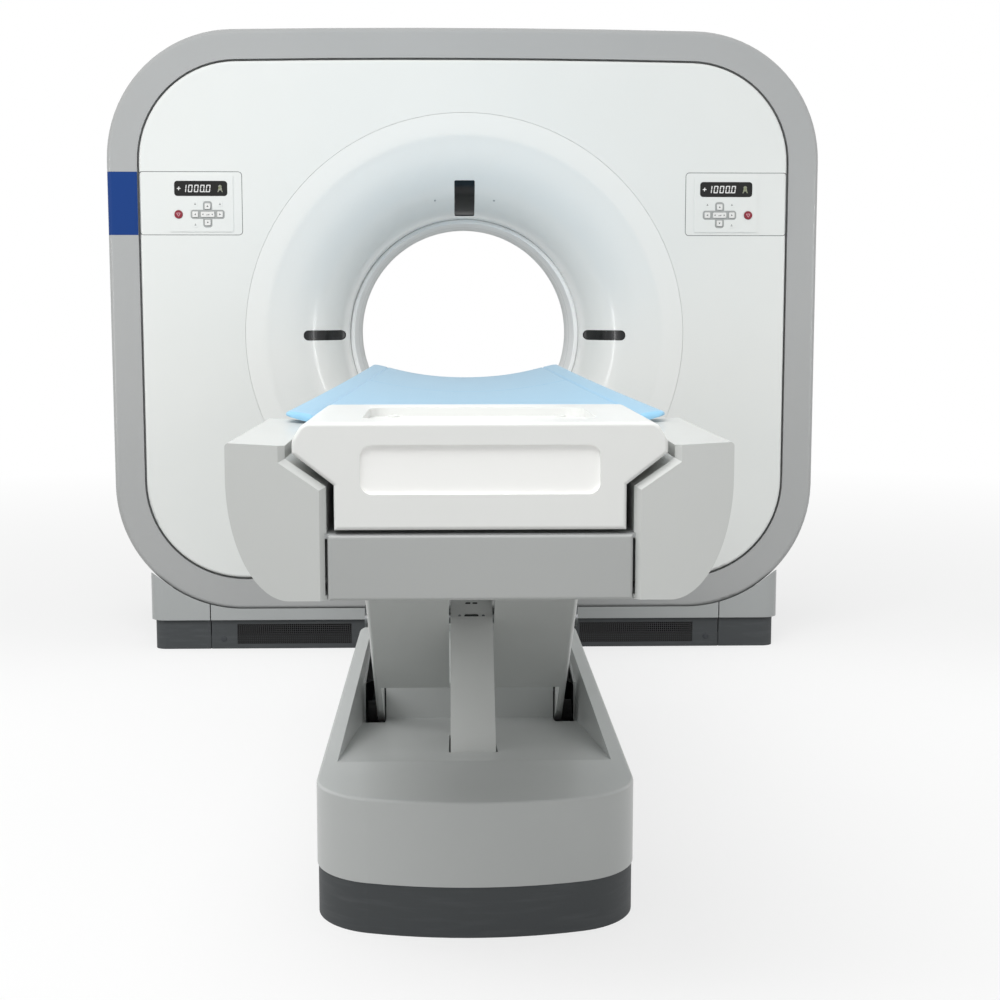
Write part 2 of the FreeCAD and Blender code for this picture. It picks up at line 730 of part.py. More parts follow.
def laser_windows():
    """Three dark windows that follow the funnel, set a little below its surface."""
    skin = bell_solid(LASER_RECESS, LASER_RECESS + LASER_THICK)
    return Part.makeCompound([skin.common(bar) for bar in laser_prisms(FIT_GAP)])


def bore_ring():
    """Front ring of the bore: rounded nose, flange behind the funnel and inner sleeve."""
    nose = FUNNEL_END - RING_NOSE
    end = ISO_Y - WINDOW_HALF - FIT_GAP
    sleeve = ring_bore(BORE_RADIUS, RING_OUTER, nose, end)
    sleeve = sleeve.makeFillet(RING_EDGE, edges_at_y(sleeve, nose))
    flange = ring_bore(RING_OUTER - 1, RING_OUTER + RING_FLANGE, FUNNEL_END + FIT_GAP,
                       FUNNEL_END + FIT_GAP + RING_FLANGE_THICK)
    return joined([sleeve, flange])


def scan_window():
    """Thin strip through which the beam passes."""
    return ring_bore(BORE_RADIUS, BORE_RADIUS + SKIN, ISO_Y - WINDOW_HALF, ISO_Y + WINDOW_HALF)


# ---------------------------------------------------------------- tilting frame and rotor

def stator_frame():
    """Ring casting with its trunnion cheeks, stub shafts and stays to the shell."""
    end = STATOR_Y + STATOR_THICK
    ring = ring_bore(STATOR_INNER, STATOR_OUTER, STATOR_Y, end)
    bottom_seat = SHELL_BOTTOM + SKIN + FIT_GAP
    top_seat = SHELL_TOP - SKIN - STAY_X1 ** 2 / (2 * SHELL_CROWN) - FIT_GAP
    overlap = STATOR_OUTER - STAY_LAP
    side_seat = SHELL_HALF_WIDTH - SKIN - FIT_GAP
    pieces = [ring]
    solids = [
        box(CHEEK_INNER, CHEEK_OUTER, CHEEK_FRONT_Y, end, ISO_Z - CHEEK_HALF_HEIGHT,
            ISO_Z + CHEEK_HALF_HEIGHT),
        rod_x(TRUNNION_RADIUS, CHEEK_OUTER - JOIN_LAP, POST_OUTER + SKIN, ISO_Y, ISO_Z),
        box(STAY_X0, STAY_X1, STATOR_Y, end, bottom_seat, ISO_Z - overlap),
        box(STAY_X0, STAY_X1, STATOR_Y, end, ISO_Z + overlap, top_seat),
        box(CHEEK_INNER, side_seat, STATOR_Y, end, ISO_Z + SIDE_STAY_Z - JOIN_LAP,
            ISO_Z + SIDE_STAY_Z + SIDE_STAY_HEIGHT),
    ]
    for solid in solids:
        pieces.extend(both_sides(solid))
    frame = joined(pieces)
    return frame.cut(rod_bore(ROTOR_OUTER + ROTOR_GAP, CHEEK_FRONT_Y - 1, STATOR_Y))


def rotor_drum():
    """Turning disc with the hub that runs in the ring casting."""
    rear = STATOR_Y - ROTOR_GAP
    disc = ring_bore(ROTOR_INNER, ROTOR_OUTER, rear - ROTOR_THICK, rear)
    hub = ring_bore(HUB_INNER, STATOR_INNER - RUNNING_GAP, rear - JOIN_LAP, STATOR_Y + STATOR_THICK)
    return joined([disc, hub])


def rotor_face():
    """The plane that carries the tube, the detector and the generator."""
    return STATOR_Y - ROTOR_GAP - ROTOR_THICK


def xray_tube():
    """Tube housing with its beam port, above the bore."""
    rear = rotor_face()
    body = Part.makeCylinder(TUBE_RADIUS, TUBE_LENGTH, Vector(0, rear - TUBE_LENGTH, ISO_Z + TUBE_ORBIT),
                             Vector(0, 1, 0))
    middle = rear - TUBE_LENGTH / 2
    port = box(-PORT_HALF_WIDTH, PORT_HALF_WIDTH, middle - PORT_HALF_LENGTH, middle + PORT_HALF_LENGTH,
               ISO_Z + TUBE_ORBIT - TUBE_RADIUS - PORT_DROP, ISO_Z + TUBE_ORBIT)
    return joined([body, port])


def detector_arc():
    """Curved detector housing below the bore."""
    rear = rotor_face()
    arc = ring_bore(DETECTOR_INNER, DETECTOR_OUTER, rear - DETECTOR_LENGTH, rear)
    reach = 2 * DETECTOR_OUTER
    slope = math.tan(math.radians(DETECTOR_HALF_ANGLE)) * reach
    wedge = polygon_y([(0, ISO_Z), (-slope, ISO_Z - reach), (slope, ISO_Z - reach)],
                      rear - DETECTOR_LENGTH - 1, rear + 1)
    return arc.common(wedge)


def hv_generator():
    """High-voltage generator at the left side of the drum."""
    rear = rotor_face()
    return box(-GENERATOR_X1, -GENERATOR_X0, rear - GENERATOR_LENGTH, rear,
               ISO_Z - GENERATOR_HALF_HEIGHT, ISO_Z + GENERATOR_HALF_HEIGHT)


# ---------------------------------------------------------------- gantry base

def swept_radius(x):
    """Largest distance from the tilt axis that the shell reaches at this x."""
    flat = SHELL_HALF_WIDTH - SHELL_CORNER
    along = max(0.0, abs(x) - flat)
    bottom = SHELL_BOTTOM + SHELL_CORNER - math.sqrt(SHELL_CORNER ** 2 - along ** 2)
    return math.hypot(GANTRY_DEPTH / 2 - SHELL_EDGE, ISO_Z - bottom - SHELL_EDGE) + SHELL_EDGE


def tilt_envelope():
    """Space that the shell sweeps as it tilts, with its clearance."""
    flat = SHELL_HALF_WIDTH - SHELL_CORNER
    reach = BASE_HALF_WIDTH + OVERRUN
    steps = SWEEP_STEPS
    stations = [flat + (reach - flat) * i / steps for i in range(steps + 1)]
    right = [Vector(x, ISO_Y, ISO_Z + swept_radius(x) + SWEEP_GAP) for x in stations]
    left = [Vector(-p.x, p.y, p.z) for p in reversed(right)]
    axis_right = Vector(reach, ISO_Y, ISO_Z)
    axis_left = Vector(-reach, ISO_Y, ISO_Z)
    curve_right = Part.BSplineCurve()
    curve_right.interpolate(right)
    curve_left = Part.BSplineCurve()
    curve_left.interpolate(left)
    edges = [curve_left.toShape(), Part.makeLine(left[-1], right[0]), curve_right.toShape(),
             Part.makeLine(right[-1], axis_right), Part.makeLine(axis_right, axis_left),
             Part.makeLine(axis_left, left[0])]
    face = Part.Face(Part.Wire(edges))
    return face.revolve(Vector(0, ISO_Y, ISO_Z), Vector(1, 0, 0), 360)


def gantry_base_frame():
    """Floor beams, low ties, the pan between them and the two posts with their bearing heads."""
    inset = KICK_INSET + BASE_SKIN + FIT_GAP
    y0 = GF - BASE_PROUD + inset
    y1 = GR + BASE_PROUD - inset
    beam = box(BEAM_INNER, BASE_HALF_WIDTH - inset, y0, y1, 0, BEAM_HEIGHT)
    beam = beam.makeFillet(BASE_CORNER - inset, [e for e in upright_edges(beam)
                                                 if e.BoundBox.XMin > BEAM_INNER + 1])
    pieces = []
    post_profile = box(POST_INNER, POST_OUTER, ISO_Y - POST_HALF_DEPTH, ISO_Y + POST_HALF_DEPTH,
                       0, ISO_Z)
    for solid in (beam, post_profile, rod_x(POST_HEAD, POST_INNER, POST_OUTER, ISO_Y, ISO_Z)):
        pieces.extend(both_sides(solid))
    for tie_y in (y0, y1 - TIE_WIDTH):
        pieces.append(box(-BEAM_INNER - JOIN_LAP, BEAM_INNER + JOIN_LAP, tie_y, tie_y + TIE_WIDTH,
                          0, TIE_HEIGHT))
    pieces.append(box(-BEAM_INNER - JOIN_LAP, BEAM_INNER + JOIN_LAP, y0, y1, 0, PAN_THICK))
    frame = joined(pieces)
    for bore in both_sides(rod_x(BEARING_OUTER + RUNNING_GAP, POST_INNER - 1, POST_OUTER + 1,
                                 ISO_Y, ISO_Z)):
        frame = frame.cut(bore)
    bolt_x = BEAM_INNER + BOLT_TO_BEAM
    for x in (-bolt_x, bolt_x):
        for y in (GF + BOLT_INSET_Y, GR - BOLT_INSET_Y):
            frame = frame.cut(Part.makeCylinder(BOLT_HOLE, BEAM_HEIGHT + 2, Vector(x, y, -1)))
    return frame


def trunnion_bearings():
    """The two bearings that carry the tilting frame."""
    bush = ring_x(TRUNNION_RADIUS + RUNNING_GAP, BEARING_OUTER, POST_INNER, POST_OUTER, ISO_Y, ISO_Z)
    return Part.makeCompound(both_sides(bush))


def tilt_gearmotor():
    """Gearbox on the right post's outer face, round the trunnion's end, with its motor below."""
    x0 = POST_OUTER
    x1 = x0 + GEARBOX_DEPTH
    motor_x = (x0 + x1) / 2 + TILT_MOTOR_OFFSET
    gearbox = rod_x(GEARBOX_RADIUS, x0, x1, ISO_Y, ISO_Z)
    motor_top = ISO_Z - GEARBOX_RADIUS + TILT_MOTOR_LAP
    motor = Part.makeCylinder(TILT_MOTOR_RADIUS, TILT_MOTOR_LENGTH,
                              Vector(motor_x, ISO_Y, motor_top - TILT_MOTOR_LENGTH))
    body = joined([gearbox, motor])
    return body.cut(rod_x(TRUNNION_RADIUS + RUNNING_GAP, x0 - 1, x0 + SKIN + 1, ISO_Y, ISO_Z))


def base_skirt(inset, wall, z0, z1):
    """Four-sided skirt with rounded upright corners, open above and below."""
    x = BASE_HALF_WIDTH - inset
    y0 = GF - BASE_PROUD + inset
    y1 = GR + BASE_PROUD - inset
    outer = box(-x, x, y0, y1, z0, z1)
    outer = outer.makeFillet(BASE_CORNER - inset, upright_edges(outer))
    inner = box(-x + wall, x - wall, y0 + wall, y1 - wall, z0 - 1, z1 + 1)
    inner = inner.makeFillet(BASE_CORNER - inset - wall, upright_edges(inner))
    return outer.cut(inner)


def split_skirt(skirt):
    """Left, right, front and rear parts of a skirt, parted at the two seams."""
    gap = BASE_SEAM / 2
    far = 2 * SHELL_HALF_WIDTH
    right = skirt.common(box(SEAM_X + gap, far, 0, GR + far, -1, far))
    left = skirt.common(box(-far, -SEAM_X - gap, 0, GR + far, -1, far))
    front = skirt.common(box(-SEAM_X + gap, SEAM_X - gap, 0, ISO_Y, -1, far))
    rear = skirt.common(box(-SEAM_X + gap, SEAM_X - gap, ISO_Y, GR + far, -1, far))
    return left, right, front, rear


def base_covers():
    """Light covers whose upper edge follows the space that the shell sweeps.

    Their lower flange lies on the kick panels.
    """
    wall = base_skirt(0, BASE_SKIN, KICK_TOP, BASE_RISE)
    flange = base_skirt(0, KICK_INSET + BASE_SKIN, KICK_TOP, KICK_TOP + COVER_FLANGE)
    skirt = joined([wall, flange])
    skirt = skirt.cut(tilt_envelope())
    return split_skirt(skirt)


def kick_panels():
    """Dark kick panels below the covers, the front one with two grille openings."""
    left, right, front, rear = split_skirt(base_skirt(KICK_INSET, BASE_SKIN, 0, KICK_TOP - FIT_GAP))
    hole = box(GRILLE_X0, GRILLE_X1, GF, GF + BASE_CORNER, GRILLE_Z0, GRILLE_Z1)
    for cut in both_sides(hole):
        front = front.cut(cut)
    return left, right, front, rear


def vent_grilles():
    """Two slotted grilles that fill the openings of the front kick panel."""
    face_y = GF - BASE_PROUD + KICK_INSET + 1
    x0 = GRILLE_X0 + FIT_GAP
    x1 = GRILLE_X1 - FIT_GAP
    z0 = GRILLE_Z0 + FIT_GAP
    z1 = GRILLE_Z1 - FIT_GAP
    plate = box(x0, x1, face_y, face_y + GRILLE_THICK, z0, z1)
    step_x = (x1 - x0 - GRILLE_WEB) / GRILLE_SLOTS
    step_z = (z1 - z0 - GRILLE_WEB) / GRILLE_ROWS
    slots = []
    for i in range(GRILLE_SLOTS):
        for k in range(GRILLE_ROWS):
            sx = x0 + GRILLE_WEB + i * step_x
            sz = z0 + GRILLE_WEB + k * step_z
            slots.append(box(sx, sx + step_x - GRILLE_WEB, face_y - 1, face_y + GRILLE_THICK + 1,
                             sz, sz + step_z - GRILLE_WEB))
    plate = plate.cut(Part.makeCompound(slots))
    return Part.makeCompound(both_sides(plate))


# ---------------------------------------------------------------- table pedestal

def pedestal_prism(inset, z0, z1):
    """Plan of the pedestal: bowed nose, rounded front corners, straight sides, rounded rear."""
    half = PED_HALF_WIDTH - inset
    front = PED_FRONT + inset
    rear = PED_REAR - inset
    nose = PED_NOSE - inset
    corner = PED_CORNER - inset
    rear_corner = PED_REAR_CORNER - inset
    cx = half - corner
    rear_x = half - rear_corner
    nose_y = front + nose
    cy = nose_y - math.sqrt((nose - corner) ** 2 - cx ** 2)
    lean = math.atan2(cx, nose_y - cy)
    diagonal = math.sqrt(0.5) * rear_corner

    def point(x, y):
        return Vector(x, y, z0)

    def front_corner(side, angle):
        return point(side * (cx + corner * math.sin(angle)), cy - corner * math.cos(angle))

    middle = (lean + math.pi / 2) / 2
    edges = [
        Part.Arc(front_corner(-1, lean), point(0, front), front_corner(1, lean)).toShape(),
        Part.Arc(front_corner(1, lean), front_corner(1, middle), point(half, cy)).toShape(),
        Part.makeLine(point(half, cy), point(half, rear - rear_corner)),
        Part.Arc(point(half, rear - rear_corner),
                 point(rear_x + diagonal, rear - rear_corner + diagonal), point(rear_x, rear)).toShape(),
        Part.makeLine(point(rear_x, rear), point(-rear_x, rear)),
        Part.Arc(point(-rear_x, rear), point(-rear_x - diagonal, rear - rear_corner + diagonal),
                 point(-half, rear - rear_corner)).toShape(),
        Part.makeLine(point(-half, rear - rear_corner), point(-half, cy)),
        Part.Arc(point(-half, cy), front_corner(-1, middle), front_corner(-1, lean)).toShape(),
    ]
    return Part.Face(Part.Wire(edges)).extrude(Vector(0, 0, z1 - z0))


def trough_prism(grow):
    """Hollow of the pedestal: sloping deck down to the lift, then the raised rear hump."""
    half = PED_HALF_WIDTH - PED_RIM + grow
    above = PED_TOP + OVERRUN
    rear = PED_REAR - PED_RIM + grow
    return polygon_x([
        (LIP_Y - grow, above),
        (LIP_Y - grow, PED_TOP - grow),
        (DECK_FOOT_Y - grow, DECK_FOOT_Z - grow),
        (HUMP_Y + grow, DECK_FOOT_Z - grow),
        (HUMP_Y + grow, HUMP_Z - grow),
        (rear, HUMP_REAR_Z - grow),
        (rear, above),
    ], -half, half)


def pedestal_cover():
    """Moulded tub with its rim, sloping deck, slot for the inner arm and lanes for the legs."""
    body = pedestal_prism(0, PED_KICK_TOP, PED_TOP)
    body = body.makeFillet(PED_EDGE, edges_at_z(body, PED_TOP))
    hollow = pedestal_prism(PED_SKIN, PED_KICK_TOP - 1, PED_TOP - PED_SKIN)
    body = body.cut(hollow.cut(trough_prism(PED_SKIN)))
    flange = pedestal_prism(0, PED_KICK_TOP, PED_KICK_TOP + PED_SKIN)
    flange = flange.cut(pedestal_prism(PED_KICK_INSET + PED_SKIN, PED_KICK_TOP - 1, PED_TOP))
    body = joined([body, flange])
    body = body.cut(trough_prism(0))
    slot_half = INNER_HALF_WIDTH + ARM_SIDE_GAP
    body = body.cut(box(-slot_half, slot_half, PIVOT_Y + ARM_SLOT_START, PIVOT_Y + ARM_SLOT_END,
                        0, PED_TOP))
    lane = box(LANE_INNER, LANE_OUTER, LANE_FRONT, PED_REAR - PED_REAR_CORNER, 0, PED_TOP)
    lane = lane.makeFillet(LANE_CORNER, upright_edges(lane))
    for cut in both_sides(lane):
        body = body.cut(cut)
    return body


def pedestal_kick():
    """Dark skirt that stands on the floor under the cover."""
    skirt = pedestal_prism(PED_KICK_INSET, 0, PED_KICK_TOP - FIT_GAP)
    return skirt.cut(pedestal_prism(PED_KICK_INSET + PED_SKIN, -1, PED_KICK_TOP + 1))


def pedestal_base():
    """Steel floor plate with the pivot brackets and the two roller tracks."""
    plate = pedestal_prism(PED_KICK_INSET + PED_SKIN + FIT_GAP, 0, PLATE_HEIGHT)
    gap = INNER_HALF_WIDTH + BRACKET_GAP
    bracket = joined([
        box(gap, gap + BRACKET_THICK, PIVOT_Y - BRACKET_HALF_DEPTH, PIVOT_Y + BRACKET_HALF_DEPTH,
            0, PIVOT_Z),
        rod_x(BRACKET_HALF_DEPTH, gap, gap + BRACKET_THICK, PIVOT_Y, PIVOT_Z),
    ])
    track_x = OUTER_HALF_WIDTH + ROLLER_GAP
    track = box(track_x, track_x + LOWER_ROLLER_WIDTH + ROLLER_GAP, LANE_FRONT - TRACK_LEAD,
                PED_REAR - PED_REAR_CORNER, 0, PIVOT_Z - LOWER_ROLLER)
    body = joined([plate] + both_sides(bracket) + both_sides(track))
    body = body.cut(rod_x(BASE_PIN_RADIUS, -2 * gap, 2 * gap, PIVOT_Y, PIVOT_Z))
    bolt_mid = (PED_FRONT + PED_REAR) / 2
    for x in (-TABLE_BOLT_X / 2, TABLE_BOLT_X / 2):
        for y in (bolt_mid - TABLE_BOLT_Y / 2, bolt_mid + TABLE_BOLT_Y / 2):
            body = body.cut(Part.makeCylinder(BOLT_HOLE, PED_TOP, Vector(x, y, -1)))
    return body


def base_pivot_pin():
    """Pin that carries the foot of the inner arm between the brackets."""
    reach = INNER_HALF_WIDTH + BRACKET_GAP + BRACKET_THICK
    return rod_x(BASE_PIN_RADIUS - RUNNING_GAP, -reach, reach, PIVOT_Y, PIVOT_Z)


def lift_gearmotor():
    """Gearbox on the right bracket, on the pivot's axis, with the motor lying in front of it."""
    x0 = INNER_HALF_WIDTH + BRACKET_GAP + BRACKET_THICK
    x1 = x0 + LIFT_GEARBOX_LENGTH
    gearbox = rod_x(LIFT_GEARBOX_RADIUS, x0, x1, PIVOT_Y, PIVOT_Z)
    motor_x = x0 + LIFT_MOTOR_RADIUS + BRACKET_GAP
    motor_z = PLATE_HEIGHT + LIFT_MOTOR_RADIUS + LIFT_MOTOR_FOOT
    motor_y = PIVOT_Y - LIFT_MOTOR_LENGTH
    motor = Part.makeCylinder(LIFT_MOTOR_RADIUS, LIFT_MOTOR_LENGTH, Vector(motor_x, motor_y, motor_z),
                              Vector(0, 1, 0))
    half_foot = LIFT_MOTOR_RADIUS / 2
    foot = box(motor_x - half_foot, motor_x + half_foot, motor_y, PIVOT_Y, PLATE_HEIGHT, motor_z)
    return joined([gearbox, motor, foot])


# ---------------------------------------------------------------- scissor lift

def arm_end(x0, x1, centre_y, radius):
    """Round end of an arm before it is turned to its lift angle."""
    return rod_x(radius, x0, x1, centre_y, 0)


def turned(shape, angle, y, z):
    """Arm drawn level about the origin, turned about X and put on its pivot."""
    result = shape.copy()
    result.rotate(Vector(0, 0, 0), Vector(1, 0, 0), angle)
    result.translate(Vector(0, y, z))
    return result


def inner_arm():
    """Narrow arm from the base pivot up to the rear rollers under the table."""
    half = INNER_HALF_WIDTH
    tip = INNER_TIP_HALF_WIDTH
    n = INNER_DEPTH / 2
    m = INNER_TIP_DEPTH / 2
    body_end = ARM_LENGTH - INNER_TIP_LENGTH
    axle = tip + ROLLER_GAP + UPPER_ROLLER_WIDTH
    arm = joined([
        arm_end(-half, half, 0, n),
        box(-half, half, 0, body_end, -n, n),
        box(-tip, tip, body_end - JOIN_LAP, ARM_LENGTH, -m, m),
        arm_end(-tip, tip, ARM_LENGTH, m),
        arm_end(-axle, axle, ARM_LENGTH, STUB_RADIUS),
        box(-half, half, INNER_COVER_START, INNER_COVER_END, n - 1, n + INNER_COVER_THICK),
    ])
    arm = arm.cut(arm_end(-half - 1, half + 1, 0, BASE_PIN_RADIUS))
    arm = arm.cut(arm_end(-half - 1, half + 1, HALF_ARM, CROSS_PIN_RADIUS))
    return turned(arm, LIFT_ANGLE, PIVOT_Y, PIVOT_Z)


def cross_pin():
    """Pin at the middle of the scissor, headed outside both cheeks."""
    reach = OUTER_HALF_WIDTH + CROSS_PIN_GAP
    pin = rod_x(CROSS_PIN_RADIUS - RUNNING_GAP, -reach, reach, MID_Y, MID_Z)
    head = rod_x(CROSS_PIN_HEAD, reach, reach + CROSS_PIN_CAP, MID_Y, MID_Z)
    return joined([pin] + both_sides(head))


def outer_arm():
    """Wide arm: two cheeks, slotted front plate, rear panel, roller stubs and top pivots."""
    outer = OUTER_HALF_WIDTH
    inner = outer - OUTER_CHEEK
    n = OUTER_DEPTH / 2
    tip = OUTER_TIP_RADIUS
    far = HALF_ARM
    taper = far - OUTER_TIP_LENGTH
    cheek = polygon_x([(-far, -tip), (-taper, -n), (taper, -n), (far, -tip),
                       (far, tip), (taper, n), (-taper, n), (-far, tip)], inner, outer)
    cheek = cheek.makeFillet(OUTER_EDGE, [e for e in edges_along_y(cheek) if e.BoundBox.XMin > inner + 1
                                          and e.BoundBox.ZMax < 0])
    top_stub = BEAM_X1 - outer
    pieces = []
    for solid in (cheek, arm_end(inner, outer, far, tip), arm_end(inner, outer, -far, tip),
                  arm_end(inner, outer + ROLLER_GAP + LOWER_ROLLER_WIDTH, far, STUB_RADIUS),
                  arm_end(inner, outer + top_stub, -far, CROSS_PIN_RADIUS)):
        pieces.extend(both_sides(solid))
    pieces.append(box(-inner, inner, -taper, OUTER_PLATE_END, -n, -n + OUTER_PLATE))
    pieces.append(box(-inner, inner, -taper, -OUTER_PANEL_END, n - OUTER_PLATE, n))
    pieces.append(arm_end(-inner, inner, -taper, n - OUTER_PLATE / 2))
    arm = joined(pieces)
    slot = INNER_HALF_WIDTH + ARM_SIDE_GAP
    arm = arm.cut(box(-slot, slot, -OUTER_SLOT_TOP, OUTER_PLATE_END + 1, -n - 1, -n + OUTER_PLATE + 1))
    arm = arm.cut(arm_end(-outer - 1, outer + 1, 0, CROSS_PIN_RADIUS))
    return turned(arm, -LIFT_ANGLE, MID_Y, MID_Z)


def lower_rollers():
    """Two wheels on the outer arm's legs, running on the tracks of the base."""
    x0 = OUTER_HALF_WIDTH + ROLLER_GAP
    wheel = ring_x(STUB_RADIUS + RUNNING_GAP, LOWER_ROLLER - FIT_GAP, x0, x0 + LOWER_ROLLER_WIDTH,
                   FAR_PIVOT_Y, PIVOT_Z)
    return Part.makeCompound(both_sides(wheel))


def upper_rollers():
    """Two wheels at the inner arm's top, running under the table's deck plate."""
    x0 = INNER_TIP_HALF_WIDTH + ROLLER_GAP
    wheel = ring_x(STUB_RADIUS + RUNNING_GAP, UPPER_ROLLER, x0, x0 + UPPER_ROLLER_WIDTH,
                   FAR_PIVOT_Y, TOP_PIVOT_Z)
    return Part.makeCompound(both_sides(wheel))


# ---------------------------------------------------------------- table top

def table_frame():
    """Two long beams under a deck plate, end ties, cradle rails and the gantry-end pad."""
    front = TABLE_FRONT + WING_SKIN + FIT_GAP
    deck_top = DECK_Z + DECK_THICK
    pieces = [box(-BEAM_X1, BEAM_X1, front, TABLE_REAR, DECK_Z, deck_top)]
    beam = box(BEAM_X0, BEAM_X1, front, TABLE_REAR, BEAM_Z0, DECK_Z)
    rail = box(RAIL_X0, RAIL_X1, WING_REAR - FRAME_TIE, TABLE_REAR, deck_top, RAIL_TOP)
    pad = box(PAD_HALF_GAP, CRADLE_KEEL, TABLE_REAR - PAD_LENGTH, TABLE_REAR, deck_top,
              CRADLE_BOTTOM - FIT_GAP)
    for solid in (beam, rail, pad):
        pieces.extend(both_sides(solid))
    for y0 in (front + FRAME_TIE, TABLE_REAR - FRAME_TIE):
        pieces.append(box(-BEAM_X0 - 1, BEAM_X0 + 1, y0, y0 + FRAME_TIE, BEAM_Z0 + FRAME_TIE_RISE,
                          DECK_Z + 1))
    frame = joined(pieces)
    hole = rod_x(CROSS_PIN_RADIUS + RUNNING_GAP, BEAM_X0 - 1, BEAM_X1 + 1, PIVOT_Y, TOP_PIVOT_Z)
    for cut in both_sides(hole):
        frame = frame.cut(cut)
    return frame


def wing_prism(inset, y0, y1):
    """Right wing: channel slope inside, short upright flank and an elliptical tuck to the bottom."""
    a = CHANNEL_HALF + inset
    shoulder = CHANNEL_SHOULDER + inset
    outer = WING_HALF_WIDTH - inset
    top = WING_TOP - inset
    crest = top + WING_CREST
    bottom = WING_BOTTOM + inset
    slope = math.atan2(CHANNEL_FLARE, CHANNEL_FLARE_RISE)
    drop = inset * math.tan(slope / 2)
    neck_z = CHANNEL_NECK_Z - drop
    shoulder_z = CHANNEL_SHOULDER_Z - drop
    knee_x = WING_HALF_WIDTH - WING_TUCK
    flank_z = WING_TOP - WING_FLANK

    def point(x, z):
        return Vector(x, y0, z)

    tuck = Part.Ellipse(point(knee_x, bottom), point(outer, flank_z), point(knee_x, flank_z))
    edges = [
        Part.makeLine(point(a, bottom), point(a, neck_z)),
        Part.makeLine(point(a, neck_z), point(shoulder, shoulder_z)),
        Part.makeLine(point(shoulder, shoulder_z), point(shoulder, top)),
        Part.makeLine(point(shoulder, top), point(outer, crest)),
        Part.makeLine(point(outer, crest), point(outer, flank_z)),
        Part.ArcOfEllipse(tuck, 0, math.pi / 2).toShape(),
        Part.makeLine(point(knee_x, bottom), point(a, bottom)),
    ]
    return Part.Face(Part.Wire(Part.__sortEdges__(edges))).extrude(Vector(0, y1 - y0, 0))


def table_wing():
    """Right wing of the foot-end housing, open at the rear."""
    wing = wing_prism(0, TABLE_FRONT, WING_REAR)
    wing = wing.makeFillet(WING_CORNER, [e for e in edges_along_y(wing)
                                         if e.BoundBox.XMin > WING_HALF_WIDTH - 1
                                         and e.BoundBox.ZMin > WING_TOP])
    channel = [e for e in edges_at_y(wing, TABLE_FRONT) if e.BoundBox.XMax < CHANNEL_SHOULDER + 1
               and e.BoundBox.ZMin > WING_BOTTOM + 1 or e.BoundBox.XMax < CHANNEL_HALF + 1]
    wing = wing.makeChamfer(WING_CHAMFER, channel)
    wing = wing.cut(wing_prism(WING_SKIN, TABLE_FRONT + WING_SKIN, WING_REAR + 1))
    deck_way = box(CHANNEL_HALF - 1, CHANNEL_HALF + WING_SKIN + 1, TABLE_FRONT + WING_SKIN, WING_REAR + 1,
                   WING_BOTTOM + WING_SKIN, DECK_Z + DECK_THICK + FIT_GAP)
    return wing.cut(deck_way)


def front_fairing():
    """Panel between the wings, below the channel in which the end cap rides."""
    half = CHANNEL_HALF - HOUSING_SEAM
    rear = TABLE_FRONT + FAIRING_DEPTH
    panel = box(-half, half, TABLE_FRONT, rear, WING_BOTTOM, FAIRING_TOP)
    panel = panel.makeFillet(WING_EDGE, edges_at_y(panel, TABLE_FRONT))
    return panel.cut(box(-half - 1, half + 1, TABLE_FRONT + WING_SKIN, rear + 1,
                         WING_BOTTOM + WING_SKIN, FAIRING_TOP + 1))


def end_cap():
    """White end cap of the cradle with its front recess and the tray on top."""
    low = CHANNEL_HALF - CAP_GAP
    shoulder = CHANNEL_SHOULDER - CAP_SHOULDER_IN
    neck_z = CHANNEL_NECK_Z + CAP_NECK_RISE
    shoulder_z = CHANNEL_SHOULDER_Z + CAP_SHOULDER_RISE
    head_z = shoulder_z + CAP_HEAD_RISE
    head = shoulder - CAP_HEAD_IN
    points = [(low, CAP_BOTTOM), (low, neck_z), (shoulder, shoulder_z), (shoulder, head_z),
              (head, CAP_TOP), (-head, CAP_TOP), (-shoulder, head_z), (-shoulder, shoulder_z),
              (-low, neck_z), (-low, CAP_BOTTOM)]
    cap = polygon_y(points, TABLE_FRONT, CAP_REAR)
    cap = cap.makeFillet(CAP_TOP_CORNER, [e for e in edges_along_y(cap)
                                          if e.BoundBox.ZMin > CAP_TOP - 1])
    cap = cap.makeFillet(CAP_HEAD_CORNER, [e for e in edges_along_y(cap)
                                           if abs(e.BoundBox.ZMin - head_z) < 1])
    cap = cap.makeFillet(CAP_EDGE, edges_at_y(cap, TABLE_FRONT))
    recess_z = RAIL_TOP + CAP_RECESS_RISE + CAP_RECESS_HEIGHT / 2
    recess = rounded_bar_y(2 * CAP_RECESS_HALF, CAP_RECESS_HEIGHT, CAP_RECESS_CORNER,
                           0, recess_z, TABLE_FRONT - 1, TABLE_FRONT + CAP_RECESS_DEPTH)
    cap = cap.cut(recess)
    tray_y0 = TABLE_FRONT + TRAY_FRONT
    tray_y1 = tray_y0 + TRAY_LENGTH
    floor_z = CAP_TOP - TRAY_DEPTH
    tray = box(-TRAY_HALF, TRAY_HALF, tray_y0, tray_y1, floor_z, CAP_TOP + 1)
    tray = tray.makeFillet(TRAY_CORNER, upright_edges(tray))
    for x in (STUD_INSET - TRAY_HALF, TRAY_HALF - STUD_INSET):
        tray = tray.cut(Part.makeCylinder(STUD_RADIUS, STUD_HEIGHT,
                                          Vector(x, tray_y1 - 2 * STUD_RADIUS, floor_z)))
    return cap.cut(tray)


def dish_z(centre_z, x):
    """Height of the dished surface at this x."""
    return centre_z + CRADLE_DISH - math.sqrt(CRADLE_DISH ** 2 - x ** 2)


